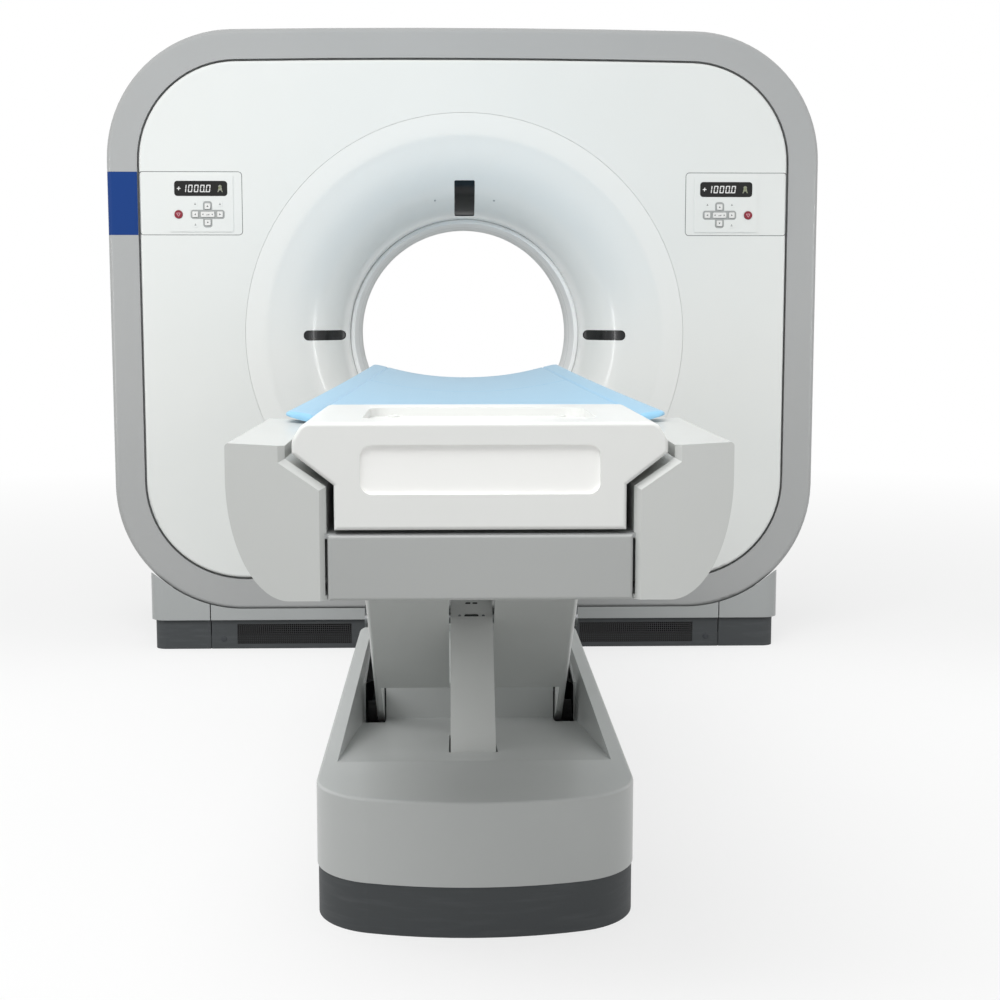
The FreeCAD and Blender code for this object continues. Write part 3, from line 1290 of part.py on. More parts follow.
def cradle():
    """Dished couch top with its keel and the two runners that ride on the rails."""
    half = CRADLE_HALF
    y0 = CAP_REAR
    edge_z = dish_z(CRADLE_TOP_CENTRE, half)

    def point(x, z):
        return Vector(x, y0, z)

    slope_low = CHANNEL_NECK_Z + CRADLE_SLOPE_GAP
    under = half - CRADLE_EDGE_IN
    under_z = edge_z - CRADLE_EDGE_DROP
    edges = [
        Part.Arc(point(-half, edge_z), point(0, CRADLE_TOP_CENTRE), point(half, edge_z)).toShape(),
        Part.makeLine(point(half, edge_z), point(under, under_z)),
        Part.makeLine(point(under, under_z), point(CRADLE_KEEL, slope_low)),
        Part.makeLine(point(CRADLE_KEEL, slope_low), point(CRADLE_KEEL, CRADLE_BOTTOM)),
        Part.makeLine(point(CRADLE_KEEL, CRADLE_BOTTOM), point(-CRADLE_KEEL, CRADLE_BOTTOM)),
        Part.makeLine(point(-CRADLE_KEEL, CRADLE_BOTTOM), point(-CRADLE_KEEL, slope_low)),
        Part.makeLine(point(-CRADLE_KEEL, slope_low), point(-under, under_z)),
        Part.makeLine(point(-under, under_z), point(-half, edge_z)),
    ]
    body = Part.Face(Part.Wire(edges)).extrude(Vector(0, CRADLE_LENGTH, 0))
    runner = box(CRADLE_KEEL - 1, RAIL_X1, RUNNER_FRONT, RUNNER_FRONT + RUNNER_LENGTH,
                 RAIL_TOP + FIT_GAP, RUNNER_TOP)
    return joined([body] + both_sides(runner))


def mat_section(half, y):
    """Closed outline of the mat across the couch: two arcs and the two edges."""
    low = CRADLE_TOP_CENTRE + FIT_GAP
    high = low + MAT_THICK

    def point(x, z):
        return Vector(x, y, z)

    upper = half - MAT_EDGE_DRAFT
    return Part.Wire([
        Part.Arc(point(-upper, dish_z(high, upper)), point(0, high),
                 point(upper, dish_z(high, upper))).toShape(),
        Part.makeLine(point(upper, dish_z(high, upper)), point(half, dish_z(low, half))),
        Part.Arc(point(half, dish_z(low, half)), point(0, low), point(-half, dish_z(low, half))).toShape(),
        Part.makeLine(point(-half, dish_z(low, half)), point(-upper, dish_z(high, upper))),
    ])


def mattress():
    """Thin mat that follows the dished couch and narrows toward the gantry."""
    y0 = CAP_REAR + MAT_END_GAP
    y1 = CAP_REAR + CRADLE_LENGTH
    return Part.makeLoft([mat_section(MAT_NEAR_HALF, y0), mat_section(MAT_FAR_HALF, y1)], True, True)


# ---------------------------------------------------------------- write all nodes

def write_gantry():
    """The tilting gantry with its panels and keys."""
    export(band_cover(), "band_cover")
    export(name_plate(), "name_plate")
    shell = cover_shell()
    export(front_cover(shell), "front_cover")
    export(rear_twin(shell), "rear_cover")
    for side, word in ((-1, "left"), (1, "right")):
        export(control_panel(shell, side), "panel_" + word)
        export(display(side), "display_" + word)
        for name, kind, x, z in key_places(side):
            export(key_cap(kind, x, z), "key_" + word + "_" + name)
    export(front_funnel(), "front_funnel")
    export(rear_twin(bell_solid(0, SKIN)), "rear_funnel")
    export(laser_windows(), "laser_windows")
    ring = bore_ring()
    export(ring, "bore_ring_front")
    export(rear_twin(ring), "bore_ring_rear")
    export(scan_window(), "scan_window")
    export(stator_frame(), "stator_frame")


def write_rotor():
    """The turning drum and what it carries."""
    export(rotor_drum(), "rotor_drum")
    export(xray_tube(), "xray_tube")
    export(detector_arc(), "detector_arc")
    export(hv_generator(), "hv_generator")


def write_gantry_base():
    """Everything of the gantry that stands still on the floor."""
    export(gantry_base_frame(), "gantry_base_frame")
    export(trunnion_bearings(), "trunnion_bearings")
    export(tilt_gearmotor(), "tilt_gearmotor")
    for part, word in zip(base_covers(), ("left", "right", "front", "rear")):
        export(part, "base_cover_" + word)
    for part, word in zip(kick_panels(), ("left", "right", "front", "rear")):
        export(part, "kick_panel_" + word)
    export(vent_grilles(), "vent_grilles")


def write_table():
    """Pedestal, lift and table top."""
    export(pedestal_cover(), "pedestal_cover")
    export(pedestal_kick(), "pedestal_kick")
    export(pedestal_base(), "pedestal_base")
    export(base_pivot_pin(), "base_pivot_pin")
    export(lift_gearmotor(), "lift_gearmotor")
    export(inner_arm(), "inner_arm")
    export(cross_pin(), "cross_pin")
    export(outer_arm(), "outer_arm")
    export(lower_rollers(), "lower_rollers")
    export(upper_rollers(), "upper_rollers")
    export(table_frame(), "table_frame")
    wing = table_wing()
    export(wing, "wing_right")
    export(both_sides(wing)[1], "wing_left")
    export(front_fairing(), "front_fairing")
    export(end_cap(), "end_cap")
    export(cradle(), "cradle")
    export(mattress(), "mattress")


def main():
    """Build the whole scanner."""
    os.makedirs("parts", exist_ok=True)
    write_gantry()
    write_rotor()
    write_gantry_base()
    write_table()


main()
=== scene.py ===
"""Looks of the CT scanner.

Every solid of the frame gets a finish, and the pieces that solids can't show well are
made here as surfaces: the padded mat, the punched vent sheets, the grey strips of painted
shade in the joints round the control panels, the lit figures, the marks on the keys, and
the small sensors, plugs, tab and screws.
All lengths are metres in the frame's own axes, unless a name ends in _mm.
"""
import json
import logging
import math
from dataclasses import dataclass, field
from enum import Enum
from typing import Any, Iterable, Sequence, Union

import bmesh
import bpy
import numpy as np
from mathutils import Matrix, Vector


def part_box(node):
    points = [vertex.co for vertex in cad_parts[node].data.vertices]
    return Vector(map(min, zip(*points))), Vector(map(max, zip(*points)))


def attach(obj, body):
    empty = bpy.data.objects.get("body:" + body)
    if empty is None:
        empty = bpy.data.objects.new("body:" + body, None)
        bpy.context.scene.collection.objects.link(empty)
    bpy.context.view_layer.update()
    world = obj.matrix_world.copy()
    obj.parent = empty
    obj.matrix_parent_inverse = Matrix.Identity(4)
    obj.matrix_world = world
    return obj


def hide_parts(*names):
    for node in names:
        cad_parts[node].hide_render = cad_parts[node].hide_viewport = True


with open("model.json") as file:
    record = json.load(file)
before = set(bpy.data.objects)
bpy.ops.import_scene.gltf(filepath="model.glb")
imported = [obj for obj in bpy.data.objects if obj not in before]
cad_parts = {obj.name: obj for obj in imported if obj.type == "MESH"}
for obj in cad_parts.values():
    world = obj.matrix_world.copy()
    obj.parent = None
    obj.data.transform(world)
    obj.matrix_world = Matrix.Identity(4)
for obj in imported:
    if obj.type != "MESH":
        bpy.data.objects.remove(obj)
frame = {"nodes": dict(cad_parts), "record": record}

Tree = bpy.types.NodeTree
Source = Union[bpy.types.Node, bpy.types.NodeSocket]
Values = dict[Any, Any]
Pair = tuple[float, float]
Array = np.ndarray

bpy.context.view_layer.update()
MM = 0.001
AXIS_Z = 0.902
BEFORE_ALL_Y = -3.0
LOG = logging.getLogger("scanner")


# ---- colour and nodes

def linear(code: str) -> tuple[float, float, float, float]:
    """Turn an sRGB hex colour into linear light.

    Args:
        code: Six hex digits, with or without a leading hash.

    Returns:
        Red, green, blue and an alpha of 1.
    """
    digits = code.lstrip("#")
    srgb = np.array([int(digits[i:i + 2], 16) / 255 for i in (0, 2, 4)])
    light = np.where(srgb <= 0.04045, srgb / 12.92, ((srgb + 0.055) / 1.055) ** 2.4)
    return (*light.tolist(), 1.0)


def feed(tree: Tree, node: bpy.types.Node, inputs: Values) -> None:
    """Link a node's inputs or set them; a node given as a value stands for its first output."""
    for key, value in inputs.items():
        if isinstance(value, bpy.types.Node):
            value = value.outputs[0]
        if isinstance(value, bpy.types.NodeSocket):
            tree.links.new(value, node.inputs[key])
        else:
            node.inputs[key].default_value = value


def add_node(tree: Tree, kind: str, inputs: Values | None = None,
             **settings: Any) -> bpy.types.Node:
    """Add one node to a tree.

    Args:
        tree: The node tree.
        kind: The shader node's type name.
        inputs: What goes to its inputs, by name or number.
        **settings: Attributes of the node itself.

    Returns:
        The new node.
    """
    node = tree.nodes.new("ShaderNode" + kind)
    for name, value in settings.items():
        setattr(node, name, value)
    feed(tree, node, inputs or {})
    return node


def per_metre(size_mm: float) -> float:
    """Texture scale whose features are about this many millimetres across."""
    return 1.0 / (size_mm * MM)


# Input numbers of the colour mix node: factor, first and second colour; output 2 is the colour.
MIX_FACTOR, MIX_FIRST, MIX_SECOND, MIX_RESULT = 0, 6, 7, 2


def blended(tree: Tree, share: Source, first: Any, second: Any) -> Source:
    """Colour between two colours, by a share from 0 to 1 that varies over the surface."""
    mix = add_node(tree, "Mix",
                   {MIX_FACTOR: share, MIX_FIRST: first, MIX_SECOND: second}, data_type="RGBA")
    return mix.outputs[MIX_RESULT]


# ---- finishes

@dataclass(frozen=True)
class Finish:
    """What every finish has: a name, two tones and how sharply it shines."""

    title: str
    colour: str
    roughness: float = 0.4
    shade: str = ""
    ior: float = 1.5

    def toned(self, tree: Tree, share: Source) -> Source:
        """The colour, going over to the shade, where one is given, by a share that varies."""
        return blended(tree, share, linear(self.colour), linear(self.shade or self.colour))

    def pattern(self, tree: Tree, coords: Source) -> Values:
        """Sockets and values that the surface's own pattern gives the shader."""
        return {}

    def material(self) -> bpy.types.Material:
        """Build the material once and hand the same one out afterwards.

        Returns:
            The node material of this finish.
        """
        found = bpy.data.materials.get(self.title)
        if found:
            return found
        made = bpy.data.materials.new(self.title)
        made.use_nodes = True
        made.diffuse_color = linear(self.colour)
        tree = made.node_tree
        shader = tree.nodes["Principled BSDF"]
        coords = add_node(tree, "TexCoord").outputs["Object"]
        values = {"Base Color": linear(self.colour), "Roughness": self.roughness, "IOR": self.ior}
        values.update(self.pattern(tree, coords))
        feed(tree, shader, values)
        return made


@dataclass(frozen=True)
class GrainedFinish(Finish):
    """Skin with a fine grain in its relief and a colour that drifts slowly to a shade."""

    grain_mm: float = 4.0
    grain_detail: float = 2.0
    grain_roughness: float = 0.5
    grain_strength: float = 0.3
    depth_mm: float = 0.06
    drift_mm: float = 260.0
    drift_detail: float = 2.0
    uneven: float = 0.0

    def pattern(self, tree: Tree, coords: Source) -> Values:
        """Grain in the relief, and a drift of the colour and, where uneven, of the shine."""
        drift = add_node(tree, "TexNoise", {
            "Vector": coords, "Scale": per_metre(self.drift_mm), "Detail": self.drift_detail})
        grain = add_node(tree, "TexNoise", {
            "Vector": coords, "Scale": per_metre(self.grain_mm), "Detail": self.grain_detail,
            "Roughness": self.grain_roughness})
        bump = add_node(tree, "Bump", {
            "Height": grain, "Strength": self.grain_strength, "Distance": self.depth_mm * MM})
        values: Values = {"Base Color": self.toned(tree, drift), "Normal": bump}
        if self.uneven:
            values["Roughness"] = add_node(tree, "MapRange", {
                "Value": drift, "To Min": self.roughness * (1 - self.uneven),
                "To Max": self.roughness * (1 + self.uneven)})
        return values


@dataclass(frozen=True)
class LacqueredMoulding(GrainedFinish):
    """Sprayed two-part lacquer on a thermoformed ABS cover.

    Gives the eye a soft gloss whose edge breaks up a little in the orange peel, and a
    colour that drifts by a percent or two over the panel. Real peel is 1 to 2 mm, and is
    drawn several times coarser so that it shows at this distance.
    """

    shade: str = "#d8dad8"
    grain_mm: float = 9.0
    grain_detail: float = 1.0
    grain_strength: float = 0.35
    depth_mm: float = 0.02
    drift_mm: float = 420.0
    drift_detail: float = 3.0
    uneven: float = 0.3
    coat: float = 0.25

    def pattern(self, tree: Tree, coords: Source) -> Values:
        """The grain as orange peel, finer and duller spray, and the clear coat."""
        return {**super().pattern(tree, coords), "Coat Weight": self.coat, "Coat Roughness": 0.12}


@dataclass(frozen=True)
class TexturedMoulding(Finish):
    """Injection-moulded polypropylene from a spark-eroded mould.

    Gives the eye an even, dull, finely pebbled dark grey with faint level scuffs. The
    real grain is about 0.4 mm, and is drawn at 3 mm so that it shows.
    """

    shade: str = "#55585a"
    grain_mm: float = 3.0
    grain_depth_mm: float = 0.12

    def pattern(self, tree: Tree, coords: Source) -> Values:
        """Pebbled grain from cells, and scuffs from a noise stretched along the floor."""
        cells = add_node(tree, "TexVoronoi", {
            "Vector": coords, "Scale": per_metre(self.grain_mm)}, feature="SMOOTH_F1")
        stretch = add_node(tree, "Mapping", {"Vector": coords, "Scale": (3.0, 3.0, 28.0)})
        rubbed = add_node(tree, "TexNoise", {"Vector": stretch, "Scale": 4.0, "Detail": 5.0})
        share = add_node(tree, "MapRange", {
            "Value": rubbed, "From Min": 0.5, "From Max": 0.8, "To Min": 0.0, "To Max": 0.5})
        bump = add_node(tree, "Bump", {
            "Height": cells, "Strength": 0.5, "Distance": self.grain_depth_mm * MM})
        return {"Base Color": self.toned(tree, share), "Normal": bump}


@dataclass(frozen=True)
class MaskedMoulding(LacqueredMoulding):
    """Lacquered ABS with a second colour printed or sprayed through a mask; also used for painted
    light.

    Gives the eye the same skin as the cover, and on it a field in another tone with a
    crisp edge and round corners: print, such as the plus sign under the arrow keys, and
    painted light, such as the near-white field in the end cap's recess.
    """

    # Tone of the field: print, and in the end cap's recess painted light.
    field_colour: str = "#a6a9a8"
    centre: Pair = (0.0, 0.0)
    oblongs_mm: tuple[Pair, ...] = ((95.0, 25.5), (25.5, 72.5))
    round_mm: float = 8.0

    @staticmethod
    def over(skin: LacqueredMoulding, title: str, **mask: Any) -> "MaskedMoulding":
        """The mask's field over another moulding's skin."""
        return MaskedMoulding(title, skin.colour, skin.roughness, skin.shade, **mask)

    def _inside(self, tree: Tree, coords: Source, oblong_mm: Pair) -> Source:
        """Share that is 1 inside a rounded oblong of the front plane and 0 outside it.

        The distance to the oblong is the length of what of |p - centre| is beyond its half
        size less the corner radius, compared with that radius.
        """
        core = [(side / 2 - self.round_mm) * MM for side in oblong_mm]
        steps = (("SUBTRACT", (self.centre[0], 0.0, self.centre[1])),
                 ("MULTIPLY", (1.0, 0.0, 1.0)), ("ABSOLUTE", None),
                 ("SUBTRACT", (core[0], 0.0, core[1])),
                 ("MAXIMUM", (0.0, 0.0, 0.0)), ("LENGTH", None))
        reach = coords
        for operation, other in steps:
            inputs = {0: reach} if other is None else {0: reach, 1: other}
            reach = add_node(tree, "VectorMath", inputs, operation=operation)
        return add_node(tree, "Math", {
            0: reach.outputs["Value"], 1: self.round_mm * MM}, operation="LESS_THAN")

    def pattern(self, tree: Tree, coords: Source) -> Values:
        """The cover's lacquer with the field of each oblong over it."""
        values = super().pattern(tree, coords)
        for oblong in self.oblongs_mm:
            share = self._inside(tree, coords, oblong)
            values["Base Color"] = blended(tree, share, values["Base Color"],
                                           linear(self.field_colour))
        return values


@dataclass(frozen=True)
class TintedSheet(Finish):
    """Smoked polycarbonate sheet, cast and flame-polished at the edges.

    Gives the eye a near-black window with one faint clean reflection and a barely lighter
    bloom where the inside shows through.
    """

    shade: str = "#17191a"
    bloom_mm: float = 60.0
    coat: float = 0.1

    def pattern(self, tree: Tree, coords: Source) -> Values:
        """Soft bloom of a slightly lighter inside, and a hard coat."""
        haze = add_node(tree, "TexNoise", {
            "Vector": coords, "Scale": per_metre(self.bloom_mm), "Detail": 2.0})
        return {"Base Color": self.toned(tree, haze), "Coat Weight": self.coat,
                "Coat Roughness": 0.04, "Specular IOR Level": 0.25}


@dataclass(frozen=True)
class CastIron(GrainedFinish):
    """Grey iron, sand cast and primed, machined only on its seats.

    Gives the eye a dull mid grey with the sand's own pitted skin under a cloudy primer.
    Real pits are 2 to 3 mm across, and are drawn at 4 mm.
    """

    shade: str = "#6a6d70"
    grain_detail: float = 6.0
    grain_roughness: float = 0.7
    grain_strength: float = 0.6
    depth_mm: float = 0.3
    drift_mm: float = 150.0
    drift_detail: float = 3.0


@dataclass(frozen=True)
class PowderCoat(GrainedFinish):
    """Polyester powder baked on bead-blasted steel or aluminium.

    Gives the eye a satin skin with a slight pebble. The real pebble is under 1 mm, and is
    drawn at 4 mm.
    """


@dataclass(frozen=True)
class MouldedRubber(GrainedFinish):
    """Rubber: a pressed nitrile tread on a wheel; the same skin is given to the grey strips in the
    panel joints, which are painted shade.

    Gives the eye a fine dry matt skin that darkens or greys a little where it is rubbed.
    """

    shade: str = "#3a3a3a"
    grain_mm: float = 12.0
    grain_detail: float = 5.0
    grain_strength: float = 0.4
    depth_mm: float = 0.1
    drift_mm: float = 12.0
    drift_detail: float = 5.0

    def pattern(self, tree: Tree, coords: Source) -> Values:
        """Dust in the relief and the colour, and a weak shine."""
        return {**super().pattern(tree, coords), "Specular IOR Level": 0.3}


class Lay(Enum):
    """Direction in which a tool left its lines, as the stretch of the pattern on each axis."""

    ALONG_X = (1.0, 60.0, 60.0)
    ALONG_Y = (60.0, 1.0, 60.0)


@dataclass(frozen=True)
class ToolLinedMetal(Finish):
    """Steel or aluminium with the lines that grinding, brushing or drawing left on it.

    Gives the eye a bright metal whose shine is pulled out across the lines. Real lines
    are 0.05 mm apart, and are drawn at 1 mm.
    """

    lay: Lay = Lay.ALONG_X
    line_mm: float = 60.0

    def pattern(self, tree: Tree, coords: Source) -> Values:
        """Noise drawn out along the tool's path, in the shine, the colour and the relief."""
        drawn = add_node(tree, "Mapping", {"Vector": coords, "Scale": self.lay.value})
        lines = add_node(tree, "TexNoise", {
            "Vector": drawn, "Scale": per_metre(self.line_mm), "Detail": 4.0})
        shine = add_node(tree, "MapRange", {
            "Value": lines, "To Min": self.roughness * 0.75, "To Max": self.roughness * 1.25})
        bump = add_node(tree, "Bump", {"Height": lines, "Strength": 0.25, "Distance": 0.05 * MM})
        return {"Metallic": 1.0, "Roughness": shine, "Normal": bump}


@dataclass(frozen=True)
class CoatedFabric(Finish):
    """Knitted polyester with a wipe-clean polyurethane face, over foam.

    Gives the eye a soft light blue with a low sheen, a fine knit that is only just felt,
    and shallow creases where it has been lain on. The real knit is 0.6 mm, and is drawn
    at 4 mm.
    """

    shade: str = "#90c2e0"
    knit_mm: float = 4.0

    def pattern(self, tree: Tree, coords: Source) -> Values:
        """Two crossed sets of ribs for the knit, and creases that run across the mat."""
        wave = {"Vector": coords, "Scale": per_metre(self.knit_mm) / math.tau, "Distortion": 0.6}
        ribs = [add_node(tree, "TexWave", wave, wave_type="BANDS", bands_direction=axis)
                for axis in ("X", "Y")]
        knit = add_node(tree, "Math", {
            0: ribs[0].outputs["Fac"], 1: ribs[1].outputs["Fac"]}, operation="ADD")
        stretch = add_node(tree, "Mapping", {"Vector": coords, "Scale": (2.2, 5.0, 1.0)})
        folds = add_node(tree, "TexNoise", {"Vector": stretch, "Scale": 1.6, "Detail": 3.0})
        fine = add_node(tree, "Bump", {"Height": knit, "Strength": 0.25, "Distance": 0.12 * MM})
        broad = add_node(tree, "Bump", {
            "Height": folds, "Strength": 0.35, "Distance": 4.0 * MM, "Normal": fine})
        return {"Base Color": self.toned(tree, folds), "Normal": broad, "Sheen Weight": 0.35,
                "Sheen Roughness": 0.5}


@dataclass(frozen=True)
class LitSegment(Finish):
    """Segment of a light-emitting display behind the smoked window.

    Gives the eye a clear glow that differs a little from chip to chip.
    """

    shade: str = "#ffffff"
    glow: float = 1.0
    chip_mm: float = 7.0

    def pattern(self, tree: Tree, coords: Source) -> Values:
        """Glow of the segment's own colour, paler on some chips."""
        uneven = add_node(tree, "TexNoise", {
            "Vector": coords, "Scale": per_metre(self.chip_mm), "Detail": 0.0})
        return {"Base Color": linear("#101010"), "Emission Color": self.toned(tree, uneven),
                "Emission Strength": self.glow}


# ---- surfaces

def grid_quads(rows: int, cols: int) -> Array:
    """Quads between neighbouring points of a grid whose rows are closed rings.

    Quad (r, c) joins points r, c; r, c+1; r+1, c+1 and r+1, c, and the last column joins
    the first.

    Args:
        rows: Number of rows of points.
        cols: Number of points in each row.

    Returns:
        Four point numbers a row.
    """
    r = np.arange(rows - 1)[:, None]
    c = np.arange(cols)[None, :]
    n = (c + 1) % cols
    quads = np.stack([r * cols + c, r * cols + n, (r + 1) * cols + n, (r + 1) * cols + c], -1)
    return quads.reshape(-1, 4)


@dataclass
class Shape:
    """Points and faces of one mesh, which can be joined with others."""

    points: Array
    faces: list[list[int]]

    @staticmethod
    def of_rings(rings: Array) -> "Shape":
        """Closed body from rings of points, with a flat face over the first and the last.

        Args:
            rings: Array of ring, point on the ring, and axis.

        Returns:
            The closed shape.
        """
        count, size = rings.shape[:2]
        faces = grid_quads(count, size).tolist()
        faces.append(list(range(size))[::-1])
        faces.append(list(range((count - 1) * size, count * size)))
        return Shape(rings.reshape(-1, 3), faces)

    @staticmethod
    def hoop(rings: Array) -> "Shape":
        """Closed hoop: rings of points as above, with the last ring joined to the first."""
        count, size = rings.shape[:2]
        faces = grid_quads(count + 1, size) % (count * size)
        return Shape(rings.reshape(-1, 3), faces.tolist())

    @staticmethod
    def joined(shapes: Sequence["Shape"]) -> "Shape":
        """All the shapes as one mesh, their point numbers shifted past those before."""
        starts = np.cumsum([0] + [len(s.points) for s in shapes[:-1]])
        faces = [[i + int(start) for i in f] for s, start in zip(shapes, starts) for f in s.faces]
        return Shape(np.concatenate([s.points for s in shapes]), faces)


@dataclass
class Piece:
    """One dressed piece: its shapes, what it rides on, its slot and its finish, which is
    the slot's where none is given."""

    name: str
    shapes: Sequence[Shape]
    body: str
    slot: str
    finish: Finish | None = None
    smooth_below: float = 40.0
    replaces: tuple[str, ...] = ()
    weld_mm: float = 0.01

    def make(self) -> bpy.types.Object:
        """Put the mesh into the scene, with outward faces, its finish and its ride.

        Returns:
            The new object, at the origin and unturned.
        """
        mesh = bpy.data.meshes.new(self.name)
        whole = Shape.joined(self.shapes)
        mesh.from_pydata(whole.points.tolist(), [], whole.faces)
        work = bmesh.new()
        work.from_mesh(mesh)
        bmesh.ops.remove_doubles(work, verts=work.verts, dist=self.weld_mm * MM)
        bmesh.ops.recalc_face_normals(work, faces=work.faces)
        work.to_mesh(mesh)
        work.free()
        mesh.shade_smooth()
        mesh.set_sharp_from_angle(angle=math.radians(self.smooth_below))
        mesh.materials.append((self.finish or SLOT_FINISH[self.slot]).material())
        made = placed(self.name, mesh)
        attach(made, self.body)
        if self.replaces:
            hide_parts(*self.replaces)
        LOG.info("piece %s: %d faces, rides %s", self.name, len(mesh.polygons), self.body)
        return made


def placed(name: str, data: bpy.types.ID) -> bpy.types.Object:
    """A new object in the scene that holds a mesh, a lamp or a camera."""
    made = bpy.data.objects.new(name, data)
    bpy.context.scene.collection.objects.link(made)
    return made


def rounded_oblong(width: float, height: float, corner: float, steps: int = 6) -> Array:
    """Outline of an oblong with round corners, as (u, v) points about its middle.

    Each corner's points are its centre plus the radius times (cos a, sin a), for a over
    that corner's quarter turn.
    """
    turn = np.linspace(0, math.pi / 2, steps)
    quarter = np.arange(4)[:, None] * math.pi / 2 + turn[None, :]
    sign_u = np.array([1, -1, -1, 1])[:, None]
    sign_v = np.array([1, 1, -1, -1])[:, None]
    u = sign_u * (width / 2 - corner) + corner * np.cos(quarter)
    v = sign_v * (height / 2 - corner) + corner * np.sin(quarter)
    return np.stack([u.ravel(), v.ravel()], axis=-1)


def disc_outline(radius: float, steps: int = 32) -> Array:
    """Circle about the middle: the radius times (cos a, sin a) for a full turn of a."""
    a = np.arange(steps) / steps * math.tau
    return radius * np.stack([np.cos(a), np.sin(a)], axis=-1)


def segment_outline(length: float, width: float) -> Array:
    """Outline of an upright display segment: an oblong with pointed ends."""
    half, w = length / 2, width / 2
    end = half - w
    return np.array([(w, -end), (w, end), (0, half), (-w, end), (-w, -end), (0, -half)])


@dataclass
class Plane:
    """A plane on which small parts are laid; by itself it looks toward the table's foot.

    A point (u, v, h) lies at the place + u times across + v times up + h times the normal,
    which is across x up.
    """

    place: Array
    across: Array = field(default_factory=lambda: np.array([1.0, 0.0, 0.0]))
    up: Array = field(default_factory=lambda: np.array([0.0, 0.0, 1.0]))
    sink: float = 0.0002

    def _stacked(self, outline: Array, heights: Array, scales: Array) -> Shape:
        """Closed body whose rings are the scaled outline, one at each height."""
        flat = outline[None] * scales[:, None, None]
        normal = np.cross(self.across, self.up)
        return Shape.of_rings(self.place + flat[..., :1] * self.across + flat[..., 1:] * self.up
                              + heights[:, None, None] * normal)

    def tablet(self, outline: Array, rise: float, lean: float = 0.0,
               edge: float = 0.3) -> Shape:
        """Flat part with a chamfered front edge.

        Rings of the outline lie below the plane, at the rise less the edge, and at the
        rise with the outline drawn in towards its middle by the edge.

        Args:
            outline: (u, v) points of the outline.
            rise: How far the part stands out.
            lean: Sideways slant of the outline for each unit of height.
            edge: Share of the rise that the edge takes.

        Returns:
            The closed shape.
        """
        drawn = 1.0 - min(0.5, rise * edge / np.abs(outline).max())
        slanted = outline + lean * outline[:, 1:] * np.array([1.0, 0.0])
        return self._stacked(slanted, np.array([-self.sink, rise * (1 - edge), rise]),
                             np.array([1.0, 1.0, drawn]))

    def dome(self, outline: Array, rise: float) -> Shape:
        """Flat part with a rounded front edge.

        At share q of a quarter turn the height is the rise times sin q, and the outline
        is drawn in by the rise times (1 - cos q).

        Args:
            outline: (u, v) points of the outline.
            rise: How far the part stands out.

        Returns:
            The closed shape.
        """
        turn = np.radians([0.0, 30.0, 60.0, 90.0])
        drawn = 1.0 - rise / np.abs(outline).max() * (1 - np.cos(turn))
        return self._stacked(outline, np.concatenate([[-self.sink], rise * np.sin(turn)]),
                             np.concatenate([[1.0], drawn]))

    def moved(self, u: float, v: float) -> "Plane":
        """The same plane with its place u along and v up from here."""
        return Plane(self.place + u * self.across + v * self.up, self.across, self.up)


def middle_of(node: str) -> Pair:
    """Middle of a node's box, as its x and its height."""
    low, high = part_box(node)
    return (low[0] + high[0]) / 2, (low[2] + high[2]) / 2


def plane_on(node: str, x: float, z: float) -> Plane:
    """The plane that touches a node where a line along +Y first meets it.

    Args:
        node: Name of the node.
        x: Where the line runs.
        z: The line's height.

    Returns:
        The plane, its first direction level.

    Raises:
        ValueError: If the line misses the node.
    """
    body = frame["nodes"][node]
    bpy.context.view_layer.update()
    turned = body.matrix_world.to_3x3()
    start = body.matrix_world.inverted() @ Vector((x, BEFORE_ALL_Y, z))
    met, place, normal, _ = body.ray_cast(start, turned.inverted() @ Vector((0.0, 1.0, 0.0)))
    if not met:
        raise ValueError(f"nothing of {node} at x {x}, z {z}")
    out = np.array((turned @ normal).normalized())
    across = np.cross(np.array([0.0, 0.0, 1.0]), out)
    across /= np.linalg.norm(across)
    return Plane(np.array(body.matrix_world @ place), across, np.cross(out, across))


def outline_moved(outline: Array, du: float, dv: float) -> Array:
    """The outline with its middle at (du, dv)."""
    return outline + np.array([du, dv])


# ---- finishes of this object

